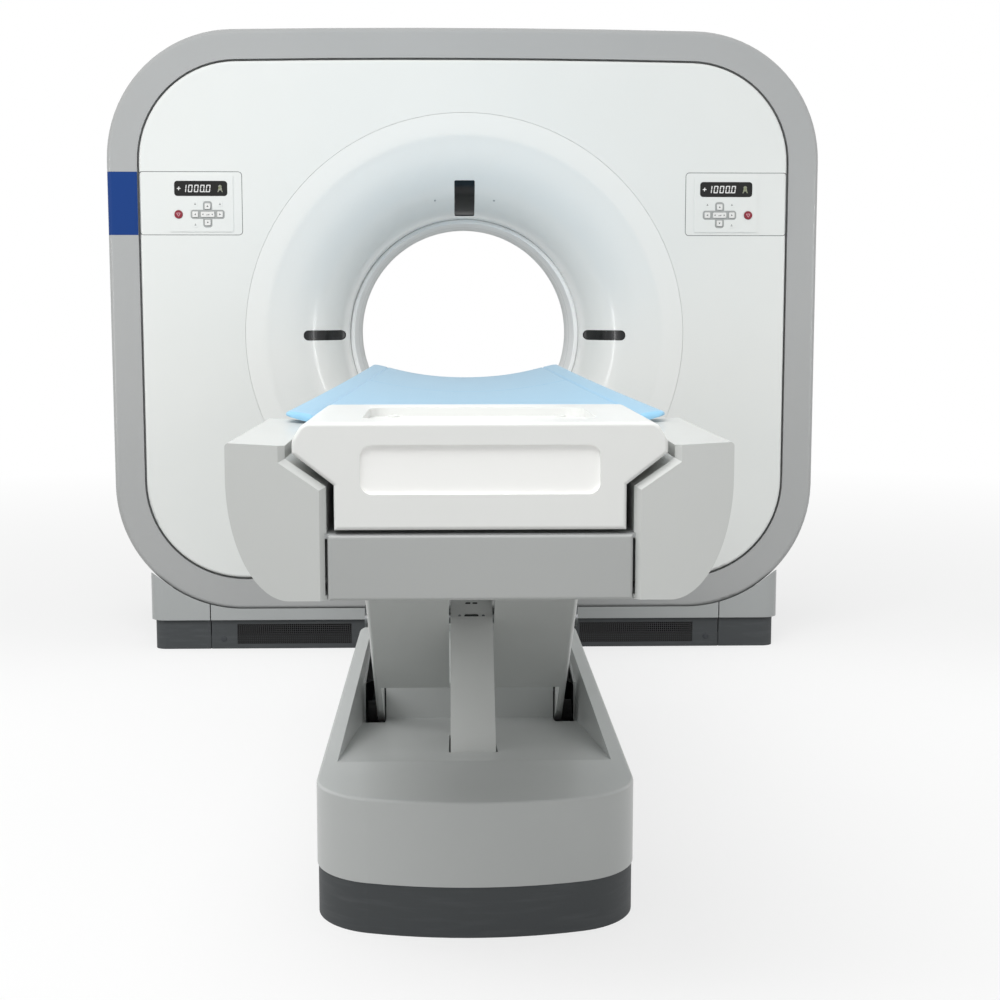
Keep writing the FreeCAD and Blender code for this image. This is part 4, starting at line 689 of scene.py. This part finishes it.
SLOT_FINISH: dict[str, Finish] = {
    "white_cover": LacqueredMoulding("lacquered ABS cover, white", "#ebedeb", 0.34, "#e4e7e5"),
    "funnel_white": LacqueredMoulding("lacquered ABS bell, cool white", "#eceeec", 0.3, "#ebedeb",
        coat=0.5, drift_mm=1900.0),
    "band_grey": LacqueredMoulding("lacquered ABS band, mid grey", "#b0b1b1", 0.38, "#a9abab"),
    "plate_blue": LacqueredMoulding("printed plate, blue", "#1a4084", 0.5, "#183b7a", ior=1.3,
        depth_mm=0.005, coat=0.0),
    "window_black": TintedSheet("smoked polycarbonate, window", "#0b0c0d", 0.2, ior=1.58),
    "bore_white": LacqueredMoulding("eroded ABS ring, pale grey", "#f8f9f9", 0.7, "#f1f3f3",
        ior=1.4, coat=0.0),
    "scan_film": LacqueredMoulding("clear film over foam, pale", "#e8eaea", 0.5, "#e0e3e3",
        coat=0.0),
    "display_glass": TintedSheet("smoked polycarbonate, display", "#0f100f", 0.3, "#151615",
        ior=1.58),
    "stop_red": LacqueredMoulding("moulded key, dark red", "#8e0f2a", 0.3, "#7a0c22", coat=0.3),
    "key_grey": LacqueredMoulding("silicone-coated key, white", "#eeeeec", 0.45, "#e6e6e4",
        coat=0.0),
    "cast_frame": CastIron("sand-cast iron, primed", "#585c60", 0.6),
    "rotor_alloy": ToolLinedMetal("turned aluminium ring", "#b4b6b8", 0.32, lay=Lay.ALONG_Y),
    "tube_steel": ToolLinedMetal("brushed steel housing", "#9fa2a5", 0.3, lay=Lay.ALONG_Y),
    "detector_alloy": PowderCoat("anodised aluminium, black", "#2d2f32", 0.35),
    "generator_paint": PowderCoat("powder coat, ivory", "#d8d8d2", 0.4),
    "frame_paint": PowderCoat("powder coat, graphite", "#393c3e", 0.5),
    "bearing_steel": ToolLinedMetal("ground bearing steel", "#a6a8aa", 0.22, lay=Lay.ALONG_X),
    "motor_paint": PowderCoat("motor enamel, dark grey", "#2a2c2e", 0.4),
    "base_cover_grey": LacqueredMoulding("lacquered ABS cover, light grey", "#b0b3b3", 0.36,
        "#a9acac"),
    "kick_dark": TexturedMoulding("textured polypropylene, charcoal", "#434648", 0.66),
    "grille_black": TexturedMoulding("punched sheet, black", "#08090a", 0.6, "#1b1c1d",
        grain_depth_mm=0.05),
    "pedestal_grey": LacqueredMoulding("lacquered ABS tub, grey", "#c9cbca", 0.4, "#c2c5c4"),
    "plate_steel": PowderCoat("powder coat, plate grey", "#4c4f51", 0.5),
    "arm_paint": PowderCoat("powder coat, arm grey", "#dcdedc", 0.38, "#d5d7d5"),
    "pin_steel": ToolLinedMetal("ground pin steel", "#a8aaac", 0.2, lay=Lay.ALONG_X),
    "roller_rubber": MouldedRubber("nitrile rubber tread", "#191919", 0.75),
    "table_paint": PowderCoat("powder coat on drawn aluminium", "#a8abab", 0.42),
    "wing_grey": LacqueredMoulding("lacquered ABS wing, pale grey", "#cdcfcd", 0.36, "#c7c9c7"),
    "cap_white": LacqueredMoulding("lacquered ABS cap, white", "#ebecea", 0.3, "#e6e7e5"),
    "cradle_white": LacqueredMoulding("lacquered laminate, white", "#e2e5e5", 0.35, "#dadddd"),
    "mat_blue": CoatedFabric("coated mat cover, light blue", "#8fc2e0", 0.5),
}

# Finishes of the pieces that have no slot of their own.
PRINT_DARK = LacqueredMoulding("screen print, dark grey", "#4a4d4f", 0.5, "#3c3f41", coat=0.0)
PRINT_ROSE = LacqueredMoulding("screen print, rose", "#d9a7b0", 0.5, "#cf9aa4", coat=0.0)
DIGIT_WHITE = LitSegment("lit segment, white", "#f2f4f2", 0.6, glow=0.82)
SIGN_GREEN = LitSegment("lit segment, yellow green", "#8f9f1e", 0.6, glow=0.42)
# Grey strip in the panel joints: painted shade for the dark line of the seams.
SEAM_SHADE_GREY = MouldedRubber("grey strip, painted seam shade", "#6a6d6e", 0.8)
SENSOR_GREY = LacqueredMoulding("moulded lens, grey", "#a9aeb0", 0.3, "#a0a5a7", coat=0.3)
PLUG_GREY = TexturedMoulding("textured polypropylene, plug", "#33363a", 0.6)
# Black of the tab, and of the arm's slots, where it is painted shade for the openings.
TAB_BLACK_AND_SLOT_SHADE = TexturedMoulding("textured polyamide, black, with painted slot shade", "#131415", 0.6)
SCREW_STEEL = ToolLinedMetal("zinc-plated screw head", "#8f9294", 0.35, lay=Lay.ALONG_X)
# The wings' grey darkened for the fairing below the cap: painted shade for the light it misses.
FAIRING_PAINTED_SHADE = LacqueredMoulding("lacquered ABS fairing, grey with painted shade", "#b0b2b1", 0.36, "#aaacab")

# The end cap's front recess: its near-white tone, painted light that brightens the recess,
# the height of its middle over the cap's lower edge, its width and height, and its corners.
CAP_RECESS_PAINTED_LIGHT = "#fdfdfb"
RECESS_UP_MM = 76.0
RECESS_MM = (300.0, 62.0)
RECESS_ROUND_MM = 15.0


def set_finish(node: str, finish: Finish) -> None:
    """Make the finish the only material of a node."""
    materials = frame["nodes"][node].data.materials
    materials.clear()
    materials.append(finish.material())
    LOG.info("node %s: %s", node, finish.title)


def dress_nodes() -> None:
    """Give every solid of the frame the finish of its slot, where the slot has one."""
    for row in frame["record"]["subparts"]:
        if row["material_slot"] in SLOT_FINISH:
            set_finish(row["node"], SLOT_FINISH[row["material_slot"]])


def dress_cap_and_fairing() -> None:
    """Painted light in the end cap's recess, and painted shade on the panel below the cap."""
    middle = (middle_of("end_cap")[0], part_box("end_cap")[0][2] + RECESS_UP_MM * MM)
    # Near-white field in the cap's recess: painted light that takes away the recess's shade.
    cap = MaskedMoulding.over(
        SLOT_FINISH["cap_white"], "lacquered ABS cap, white with painted light in the recess",
        field_colour=CAP_RECESS_PAINTED_LIGHT, centre=middle, oblongs_mm=(RECESS_MM,), round_mm=RECESS_ROUND_MM)
    set_finish("end_cap", cap)
    # Painted shade: the fairing gets a darker copy of the wings' grey.
    set_finish("front_fairing", FAIRING_PAINTED_SHADE)


# ---- control panels

class Side(Enum):
    """Which of the two control panels."""

    LEFT = "left"
    RIGHT = "right"


@dataclass
class ControlPanel:
    """One control panel: printed foil, lit figures and the marks on its keys."""

    side: Side
    digit_height: float = 0.0205
    digit_width: float = 0.0118
    stroke: float = 0.0026
    slant: float = 0.12
    figure_rise: float = 0.0002
    mark_rise: float = 0.0002
    digit_places: tuple[float, ...] = (-0.0291, -0.0123, 0.0042, 0.0207)
    one_place: float = -0.0414
    point_place: float = 0.0122
    plus_place: float = -0.0612
    sign_place: float = 0.0537
    small_keys: Pair = (0.0346, 0.0285)
    bar_half: float = 0.0009
    face_below: float = 0.006
    joint_corner: float = 0.0095
    joint_section_mm: tuple[Pair, ...] = (
        (-0.3, -1.2), (-0.3, 0.05), (0.0, 0.2), (1.0, 0.2), (1.3, 0.05), (1.3, -1.2))

    def build(self) -> list[Piece]:
        """All the pieces of this panel.

        Returns:
            The pieces, not yet in the scene.
        """
        side = self.side.value
        self._print_foil(side)
        pieces = [self._seam_shade_strip(side), self._figures(side), self._sign(side), self._small_marks(side),
                  self._key_mark(side, "stop", self._stop_bars(), "stop_red", PRINT_ROSE)]
        for word, outline in self._arrow_marks().items():
            pieces.append(self._key_mark(side, word, [outline]))
        pieces.append(self._key_mark(side, "centre", self._centre_marks()))
        return pieces

    def _print_foil(self, side: str) -> None:
        """Finish of the panel node, with the printed field under this side's keys."""
        foil = MaskedMoulding.over(SLOT_FINISH["white_cover"], f"printed foil, {side}",
                                   centre=middle_of(f"key_{side}_centre"))
        set_finish(f"panel_{side}", foil)

    def _seam_shade_strip(self, side: str) -> Piece:
        """Thin grey strip in and over the joint round the panel: painted shade that darkens the
        seam's line.

        Each row of the grid is the panel's outline set out by the strip's offset, at the
        offset's height over the panel's face; the rows follow the strip's section.
        """
        low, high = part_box(f"panel_{side}")
        middle = middle_of(f"panel_{side}")
        face = plane_on(f"panel_{side}", middle[0], high[2] - self.face_below).place[1]
        rows = []
        for out_mm, rise_mm in self.joint_section_mm:
            out = out_mm * MM
            flat = rounded_oblong(high[0] - low[0] + 2 * out, high[2] - low[2] + 2 * out,
                                  self.joint_corner + out)
            rows.append(np.insert(flat + np.array(middle), 1, face - rise_mm * MM, axis=-1))
        strip = Shape.hoop(np.array(rows))
        # Painted shade: the strip darkens the seam's line.
        return Piece(f"joint_{side}", [strip], "gantry", "panel_white", SEAM_SHADE_GREY)

    def _plane(self, node: str, front: float | None = None) -> Plane:
        """The front plane of a node about its middle, or the plane at another front."""
        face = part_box(node)[0][1] if front is None else front
        return Plane(np.insert(middle_of(node), 1, face))

    def _zero(self) -> list[Array]:
        """The six outer segments of a seven-segment figure, as outlines about its middle."""
        tall = self.digit_height / 2
        wide = self.digit_width - self.stroke
        upright = segment_outline(tall, self.stroke)
        level = segment_outline(wide + self.stroke * 0.6, self.stroke)[:, ::-1]
        lift = (self.digit_height - self.stroke) / 2
        uprights = [outline_moved(upright, x, z)
                    for x in (-wide / 2, wide / 2) for z in (-tall / 2, tall / 2)]
        return uprights + [outline_moved(level, 0.0, z) for z in (-lift, lift)]

    def _figures(self, side: str) -> Piece:
        """A plus sign, four noughts, a one and a point, slanted, just in front of the window."""
        plane = self._plane(f"display_{side}")
        parts = [(at, outline) for at in self.digit_places for outline in self._zero()]
        upright = segment_outline(self.digit_height / 2, self.stroke)
        parts += [(self.one_place, outline_moved(upright, 0.0, z))
                  for z in (-self.digit_height / 4, self.digit_height / 4)]
        low = -(self.digit_height - self.stroke) / 2
        dot = rounded_oblong(0.0032, 0.0032, 0.0012, 3)
        parts.append((self.point_place, outline_moved(dot, 0.0, low)))
        bar = rounded_oblong(0.0105, self.stroke, 0.0012, 3)
        parts += [(self.plus_place, bar), (self.plus_place, bar[:, ::-1])]
        shapes = [plane.moved(at, 0.0).tablet(outline, self.figure_rise, self.slant)
                  for at, outline in parts]
        return Piece(f"figures_{side}", shapes, "gantry", "display_glass", DIGIT_WHITE)

    def _sign(self, side: str) -> Piece:
        """Green sign: a round head over a body with two slanted feet."""
        plane = self._plane(f"display_{side}").moved(self.sign_place, 0.0)
        head = outline_moved(disc_outline(0.0048, 20), 0.0, 0.0050)
        body = MM * np.array([(4.5, 1.5), (-4.5, 1.5), (-5.8, -5.0), (5.8, -5.0)])
        foot = MM * np.array([(5.2, -4.5), (7.6, -10.0), (4.8, -10.0), (2.2, -4.5)])
        other = foot[::-1] * np.array([-1, 1])
        shapes = [plane.tablet(part, self.figure_rise) for part in (head, body, foot, other)]
        return Piece(f"sign_{side}", shapes, "gantry", "display_glass", SIGN_GREEN)

    def _arrow_marks(self) -> dict[str, Array]:
        """A small triangle for each arrow key, pointing its own way."""
        up = MM * np.array([(2.6, -2.0), (0.0, 2.6), (-2.6, -2.0)])
        return {"up": up, "down": -up, "right": up[:, ::-1], "left": -up[:, ::-1]}

    def _centre_marks(self) -> list[Array]:
        """Three marks of the wide key: two triangles and a low bench between them."""
        up = MM * np.array([(2.2, -1.8), (0.0, 2.2), (-2.2, -1.8)])
        bench = MM * np.array([(4.5, 1.2), (3.0, 1.2), (3.0, -0.8), (-3.5, -0.8), (-3.5, -2.2),
                               (4.5, -2.2)])
        side = up[:, ::-1]
        return [outline_moved(-side, -0.0135, 0.0), bench, outline_moved(side, 0.0135, 0.0)]

    def _key_mark(self, side: str, word: str, outlines: Iterable[Array],
                  slot: str = "key_grey", ink: Finish = PRINT_DARK) -> Piece:
        """Print on one key, moving with it."""
        plane = self._plane(f"key_{side}_{word}")
        shapes = [plane.tablet(outline, self.mark_rise) for outline in outlines]
        return Piece(f"mark_{side}_{word}", shapes, f"{side}_{word}_key", slot, ink)

    def _stop_bars(self) -> list[Array]:
        """Three bars round an open triangle with its point down."""
        corners = MM * np.array([(-5.2, 3.4), (5.2, 3.4), (0.0, -5.6)])
        bars = []
        for start, end in zip(corners, np.roll(corners, -1, axis=0)):
            along = (end - start) / np.linalg.norm(end - start)
            across = np.array([-along[1], along[0]]) * self.bar_half
            bars.append(np.array([start - across, end - across, end + across, start + across]))
        return bars

    def _small_marks(self, side: str) -> Piece:
        """Print on the three raised corner keys: a short stand under a dot."""
        plane = self._plane(f"key_{side}_centre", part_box(f"panel_{side}")[0][1])
        outer = -1 if side == "left" else 1
        parts = ((0.0018, disc_outline(0.0011, 12)),
                 (-0.0012, rounded_oblong(0.0052, 0.0014, 0.0005, 3)))
        u, v = self.small_keys
        shapes = [plane.moved(x, z + lift).tablet(part, self.mark_rise)
                  for x, z in ((-u, v), (u, v), (outer * u, -v)) for lift, part in parts]
        return Piece(f"marks_{side}_small", shapes, "gantry", "panel_white", PRINT_DARK)


# ---- mat

@dataclass
class Mat:
    """Thin padded mat lying in the dished couch."""

    thickness: float = 0.0135
    crown: float = 0.0015
    curl: float = 0.010
    dish: float = 0.960
    seam_in: float = 0.040
    seam_width: float = 0.0022
    seam_depth: float = 0.0034
    cross_seam_y: float = -0.055
    edge_power: float = 9.0
    near_half: float = 0.283
    far_half: float = 0.256
    across: int = 90
    along: int = 140
    at_seam: int = 28
    seam_spread: Pair = (0.014, 0.020)
    cross_spread: float = 0.008
    corner_round: float = 0.012
    end_round: float = 0.008
    end_edge: float = 0.12
    over_dish: float = 0.0002
    least: float = 0.0004

    def _groove(self, away: Array) -> Array:
        """Depth of a sewn seam at a distance from its line: a bell curve of the distance."""
        return self.seam_depth * np.exp(-(away / self.seam_width) ** 2)

    def _quarter(self, share: Array) -> Array:
        """Height of a quarter circle at a share of its width, and 1 beyond it."""
        return np.sqrt(1 - (1 - np.clip(share, 0, 1)) ** 2)

    def build(self) -> list[Piece]:
        """The mat as a closed surface.

        Across the mat, s runs from -1 to 1 and x is s times the half width, which narrows
        evenly toward the gantry and is drawn in at both ends by a rounded corner. The
        points stand closer where a seam runs. The underside lies on the dish, an arc of
        its radius, and curls up off it with the square of the way to the gantry times
        |s| cubed. The top is the underside plus the thickness times (1 - |s|^p)^(1/3),
        which rounds the edges, and times a quarter circle at both ends, plus a low crown,
        less the grooves of the seams. Each ring runs over the top and back below.

        Returns:
            The piece, in a list.
        """
        low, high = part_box("mattress")
        even = (1 - np.cos(np.linspace(0, math.pi, self.along))) / 2
        close = self.cross_seam_y + np.linspace(-self.cross_spread, self.cross_spread, self.at_seam)
        y = np.unique(np.concatenate([low[1] + (high[1] - low[1]) * even, close]))
        v = (y - low[1]) / (high[1] - low[1])
        from_end = np.minimum(y - low[1], high[1] - y)
        taper = self.near_half + (self.far_half - self.near_half) * v
        round_end = self.corner_round * (1 - self._quarter(from_end / self.corner_round))
        half = (taper - round_end)[:, None]
        seam_s = 1 - self.seam_in / np.linspace(self.far_half - self.seam_spread[0],
                                                self.near_half + self.seam_spread[1], self.at_seam)
        s = np.concatenate([-np.cos(np.linspace(0, math.pi, self.across)), seam_s, -seam_s])
        s = np.unique(s.round(5))[None, :]
        x = half * s
        under = low[2] + self.dish - np.sqrt(self.dish ** 2 - x ** 2)
        under = under + self.curl * v[:, None] ** 2 * np.abs(s) ** 3
        full = self.end_edge + (1 - self.end_edge) * self._quarter(from_end / self.end_round)
        edge = np.clip(1 - np.abs(s) ** self.edge_power, 0, 1) ** (1 / 3)
        body = self.thickness * edge * full[:, None] + self.crown * (1 - s ** 2)
        side_seam = self._groove(half - np.abs(x) - self.seam_in)
        between = np.abs(x) < half - self.seam_in
        cross_seam = self._groove(y - self.cross_seam_y)[:, None] * between
        top = under + np.maximum(body - side_seam - cross_seam, self.least)
        y_grid = np.broadcast_to(y[:, None], x.shape)
        upper = np.stack([x, y_grid, top + self.over_dish], axis=-1)
        lower = np.stack([x, y_grid, under + self.over_dish], axis=-1)[:, ::-1][:, 1:-1]
        rings = np.concatenate([upper, lower], axis=1)
        return [Piece("mat", [Shape.of_rings(rings)], "couch", "mat_blue", smooth_below=70.0,
                      replaces=("mattress",), weld_mm=0.0005)]


# ---- base and pedestal trim

@dataclass
class VentSheets:
    """Two punched sheets in the openings of the front kick panel."""

    pitch: float = 0.006
    hole: float = 0.0019
    thickness: float = 0.0012

    def build(self) -> list[Piece]:
        """The sheets, each a grid of square cells with an eight-sided hole.

        In every cell the quads join eight points on its edge with eight on the hole, for
        the front, for the back and between both round the hole. The outer edge is closed
        by quads from front to back.

        Returns:
            The piece, in a list.
        """
        low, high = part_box("vent_grilles")
        vertices = frame["nodes"]["vent_grilles"].data.vertices
        places = np.empty(len(vertices) * 3)
        vertices.foreach_get("co", places)
        x0, x1 = np.abs(places[::3]).min(), np.abs(places[::3]).max()
        sheets = [self._sheet(side * (x0 + x1) / 2, x1 - x0, low, high) for side in (-1, 1)]
        return [Piece("vent_sheets", sheets, "floor_unit", "grille_black", smooth_below=30.0,
                      replaces=("vent_grilles",), weld_mm=0.02)]

    def _sheet(self, middle: float, width: float, low: Sequence[float],
               high: Sequence[float]) -> Shape:
        """One sheet about a middle x, of whole cells that fill the width and height."""
        height = high[2] - low[2]
        cols, rows = round(width / self.pitch), round(height / self.pitch)
        pitch_x, pitch_z = width / cols, height / rows
        turn = np.arange(8) * math.pi / 4 + math.pi / 4
        ring = np.stack([np.cos(turn), np.sin(turn)], axis=-1)
        square = np.clip(ring * 1.5, -1, 1) * np.array([pitch_x, pitch_z]) / 2
        inner = ring * self.hole
        cells_x = middle - width / 2 + pitch_x * (np.arange(cols) + 0.5)
        cells_z = low[2] + pitch_z * (np.arange(rows) + 0.5)
        centre = np.stack(np.meshgrid(cells_x, cells_z, indexing="ij"), axis=-1).reshape(-1, 1, 2)
        outline = np.concatenate([square, inner], axis=0)[None] + centre
        front = np.insert(outline, 1, low[1], axis=-1)
        back = np.insert(outline, 1, low[1] + self.thickness, axis=-1)
        points = np.concatenate([front, back], axis=1)
        k = np.arange(8)
        n = (k + 1) % 8
        cell = np.concatenate([np.stack([k, n, n + 8, k + 8], -1),
                               np.stack([k + 16, k + 24, n + 24, n + 16], -1),
                               np.stack([k + 8, n + 8, n + 24, k + 24], -1)])
        faces = (np.arange(len(points))[:, None, None] * 32 + cell[None]).reshape(-1, 4)
        return Shape(points.reshape(-1, 3), faces.tolist() + self._rim(cols, rows))

    def _rim(self, cols: int, rows: int) -> list[list[int]]:
        """Quads from front to back along the sheet's four outer edges."""
        number = np.arange(cols * rows).reshape(cols, rows)
        sides = [(number[-1], (7, 0)), (number[:, -1], (0, 1, 2)), (number[0], (2, 3, 4)),
                 (number[:, 0], (4, 5, 6)), (number[-1], (6, 7))]
        quads = []
        for cells, corners in sides:
            for a, b in zip(corners, corners[1:]):
                base = cells * 32
                quads.append(np.stack([base + a, base + 16 + a, base + 16 + b, base + b], -1))
        return np.concatenate(quads).tolist()


@dataclass
class FunnelSensors:
    """Two small lenses in the upper part of the front funnel, one each side of the window."""

    places: tuple[Pair, ...] = ((-0.0845, 0.384), (0.0845, 0.384))
    radius: float = 0.0032
    rise: float = 0.0008

    def build(self) -> list[Piece]:
        """The lenses, each a low dome on the plane that touches the funnel.

        Returns:
            The piece, in a list.
        """
        lens = disc_outline(self.radius, 20)
        shapes = [plane_on("front_funnel", x, AXIS_Z + up).dome(lens, self.rise)
                  for x, up in self.places]
        return [Piece("funnel_sensors", shapes, "gantry", "funnel_white", SENSOR_GREY)]


@dataclass
class KickPlugs:
    """Round plugs over the levelling feet, at the ends of the front kick panel."""

    x: float = 0.700
    z: float = 0.029
    radius: float = 0.0085
    rise: float = 0.0015

    def build(self) -> list[Piece]:
        """The plugs, each a flat disc with a rounded edge.

        Returns:
            The piece, in a list.
        """
        shapes = [plane_on("kick_panel_front", side * self.x, self.z)
                  .dome(disc_outline(self.radius, 28), self.rise) for side in (-1, 1)]
        return [Piece("kick_plugs", shapes, "floor_unit", "kick_dark", PLUG_GREY)]


@dataclass
class ArmTrim:
    """Tab, two slots and two screws at the upper end of the narrow arm's cover. The slots are low
    black domes: painted shade for the dark inside the openings.

    The arm rises from its foot; a point lies at a distance along it and at its upper
    face's height over the line through the pins.
    """

    foot_y: float = -0.996
    foot_z: float = 0.095
    rise_deg: float = 37.5
    over: float = 0.030
    tab_at: float = 0.4405
    slots_at: float = 0.473
    slot_x: float = 0.0068
    screw_x: float = 0.0228
    screw_radius: float = 0.0030
    rise: float = 0.0016
    slot_rise: float = 0.0004
    tab_size: tuple[float, ...] = (0.0272, 0.0050, 0.0018)
    slot_size: tuple[float, ...] = (0.0100, 0.0036, 0.0016)

    def _plane(self, along: float, x: float) -> Plane:
        """The arm's upper face at a distance from the foot pivot."""
        c, s = math.cos(math.radians(self.rise_deg)), math.sin(math.radians(self.rise_deg))
        place = np.array([x, self.foot_y + along * c - self.over * s,
                          self.foot_z + along * s + self.over * c])
        return Plane(place, up=np.array([0.0, c, s]))

    def build(self) -> list[Piece]:
        """The black tab and the slots' painted shade as one piece, and the screws as another.

        Returns:
            The pieces.
        """
        tab = self._plane(self.tab_at, 0.0).dome(rounded_oblong(*self.tab_size), self.rise)
        slot, head = rounded_oblong(*self.slot_size), disc_outline(self.screw_radius, 20)
        # Slots drawn as low black domes: painted shade for the dark of the openings.
        slot_shades = [self._plane(self.slots_at, side * self.slot_x).dome(slot, self.slot_rise)
                 for side in (-1, 1)]
        screws = [self._plane(self.tab_at, side * self.screw_x).dome(head, self.rise)
                  for side in (-1, 1)]
        return [Piece("arm_tab", [tab, *slot_shades], "lift_inner", "frame_paint", TAB_BLACK_AND_SLOT_SHADE),
                Piece("arm_screws", screws, "lift_inner", "pin_steel", SCREW_STEEL)]


# ---- studio

@dataclass(frozen=True)
class SoftBox:
    """One soft lamp of the studio."""

    name: str
    place: tuple[float, float, float]
    aim: tuple[float, float, float]
    width: float
    height: float
    watts: float
    shines: bool = True

    def make(self) -> None:
        """Hang the lamp and turn it to its aim; one that doesn't shine leaves no highlight."""
        lamp = bpy.data.lights.new(self.name, "AREA")
        lamp.shape = "RECTANGLE"
        lamp.size, lamp.size_y, lamp.energy = self.width, self.height, self.watts
        holder = placed(self.name, lamp)
        holder.location = self.place
        holder.visible_glossy = self.shines
        gaze = Vector(self.aim) - Vector(self.place)
        holder.rotation_euler = gaze.to_track_quat("-Z", "Y").to_euler()


@dataclass
class Studio:
    """Pale floor, soft lamps and the camera."""

    camera_place: tuple[float, float, float] = (-0.0333, -3.725, 0.969)
    look_down: float = 6.66
    look_right: float = 1.652
    lens: float = 57.96
    sensor: float = 36.0
    floor_half: float = 30.0
    floor_share: float = 0.72
    floor_fade: Pair = (2.2, 6.5)
    floor_tone: str = "#acacab"
    sky_low: str = "#979797"
    sky_high: str = "#d6d7d6"
    lamps: tuple[SoftBox, ...] = field(default_factory=lambda: (
        SoftBox("key", (-0.8, -2.3, 3.1), (0.0, 0.7, 1.0), 2.2, 1.6, 76.0, shines=False),
        SoftBox("front", (0.3, -4.3, 0.7), (0.0, -1.0, 0.4), 1.8, 0.8, 12.0, shines=False),
        SoftBox("strip_right", (1.9, -0.08, 1.05), (-0.4, 0.9, 1.05), 0.05, 1.1, 4.5),
        SoftBox("strip_left", (-1.9, -0.08, 1.05), (0.4, 0.9, 1.05), 0.05, 1.1, 4.5),
    ))

    def build(self) -> None:
        """Set up the whole studio."""
        scene = bpy.context.scene
        scene.view_settings.view_transform = "Standard"
        self._camera(scene)
        self._world(scene)
        self._floor()
        for lamp in self.lamps:
            lamp.make()
            LOG.info("lamp %s", lamp.name)

    def _camera(self, scene: bpy.types.Scene) -> None:
        """Camera at the place and angle of the picture."""
        eye = placed("camera", bpy.data.cameras.new("camera"))
        eye.location = self.camera_place
        turn = (90 - self.look_down, 0.0, -self.look_right)
        eye.rotation_euler = [math.radians(degrees) for degrees in turn]
        eye.data.lens, eye.data.sensor_width = self.lens, self.sensor
        scene.camera = eye

    def _background_share(self, tree: Tree) -> Source:
        """1 for rays that see the background: from the camera, a shine or through glass."""
        path = add_node(tree, "LightPath")
        both = add_node(tree, "Math", {
            0: path.outputs["Is Camera Ray"], 1: path.outputs["Is Glossy Ray"]},
            operation="MAXIMUM")
        return add_node(tree, "Math", {
            0: both, 1: path.outputs["Is Transmission Ray"]}, operation="MAXIMUM")

    def _world(self, scene: bpy.types.Scene) -> None:
        """White to the eye; for the object a soft sky, brighter above than at the sides."""
        world = bpy.data.worlds.new("studio air")
        world.use_nodes = True
        scene.world = world
        tree = world.node_tree
        way = add_node(tree, "TexCoord").outputs["Generated"]
        parts = add_node(tree, "SeparateXYZ", {"Vector": way})
        height = add_node(tree, "MapRange", {
            "Value": parts.outputs["Z"], "From Min": -0.1, "From Max": 0.9})
        sky = blended(tree, height, linear(self.sky_low), linear(self.sky_high))
        soft = add_node(tree, "Background", {"Color": sky, "Strength": 1.0})
        white = add_node(tree, "Background", {"Color": linear("#ffffff"), "Strength": 1.0})
        mix = add_node(tree, "MixShader", {0: self._background_share(tree), 1: soft, 2: white})
        feed(tree, tree.nodes["World Output"], {"Surface": mix})

    def _floor(self) -> None:
        """Plain pale floor that keeps the object's shadow but runs into the white behind."""
        half = self.floor_half
        mesh = bpy.data.meshes.new("floor")
        corners = [(-half, -half, 0.0), (half, -half, 0.0), (half, half, 0.0), (-half, half, 0.0)]
        mesh.from_pydata(corners, [], [(0, 1, 2, 3)])
        ground = placed("floor", mesh)
        finish = bpy.data.materials.new("studio floor")
        finish.use_nodes = True
        tree = finish.node_tree
        tree.nodes.remove(tree.nodes["Principled BSDF"])
        cloth = add_node(tree, "BsdfDiffuse", {"Color": linear("#f4f4f4")})
        dim = add_node(tree, "BsdfDiffuse", {"Color": linear(self.floor_tone)})
        lit = add_node(tree, "Emission", {"Color": linear("#ffffff"), "Strength": 1.0})
        spot = add_node(tree, "TexCoord").outputs["Object"]
        reach = add_node(tree, "VectorMath", {"Vector": spot}, operation="LENGTH")
        share = add_node(tree, "MapRange", {
            "Value": reach.outputs["Value"], "From Min": self.floor_fade[0],
            "From Max": self.floor_fade[1], "To Min": self.floor_share, "To Max": 1.0})
        seen = add_node(tree, "MixShader", {0: share, 1: cloth, 2: lit})
        mix = add_node(tree, "MixShader", {0: self._background_share(tree), 1: dim, 2: seen})
        feed(tree, tree.nodes["Material Output"], {"Surface": mix})
        mesh.materials.append(finish)


# ---- everything in order

def main() -> None:
    """Dress the frame, make the pieces and set up the studio."""
    logging.basicConfig(level=logging.INFO, format="%(message)s")
    dress_nodes()
    dress_cap_and_fairing()
    makers = [*map(ControlPanel, Side), VentSheets(), KickPlugs(), FunnelSensors(), ArmTrim(),
              Mat()]
    pieces = [piece for maker in makers for piece in maker.build()]
    made = {piece.name: piece.make() for piece in pieces}
    Studio().build()


if __name__ == "__main__":
    main()
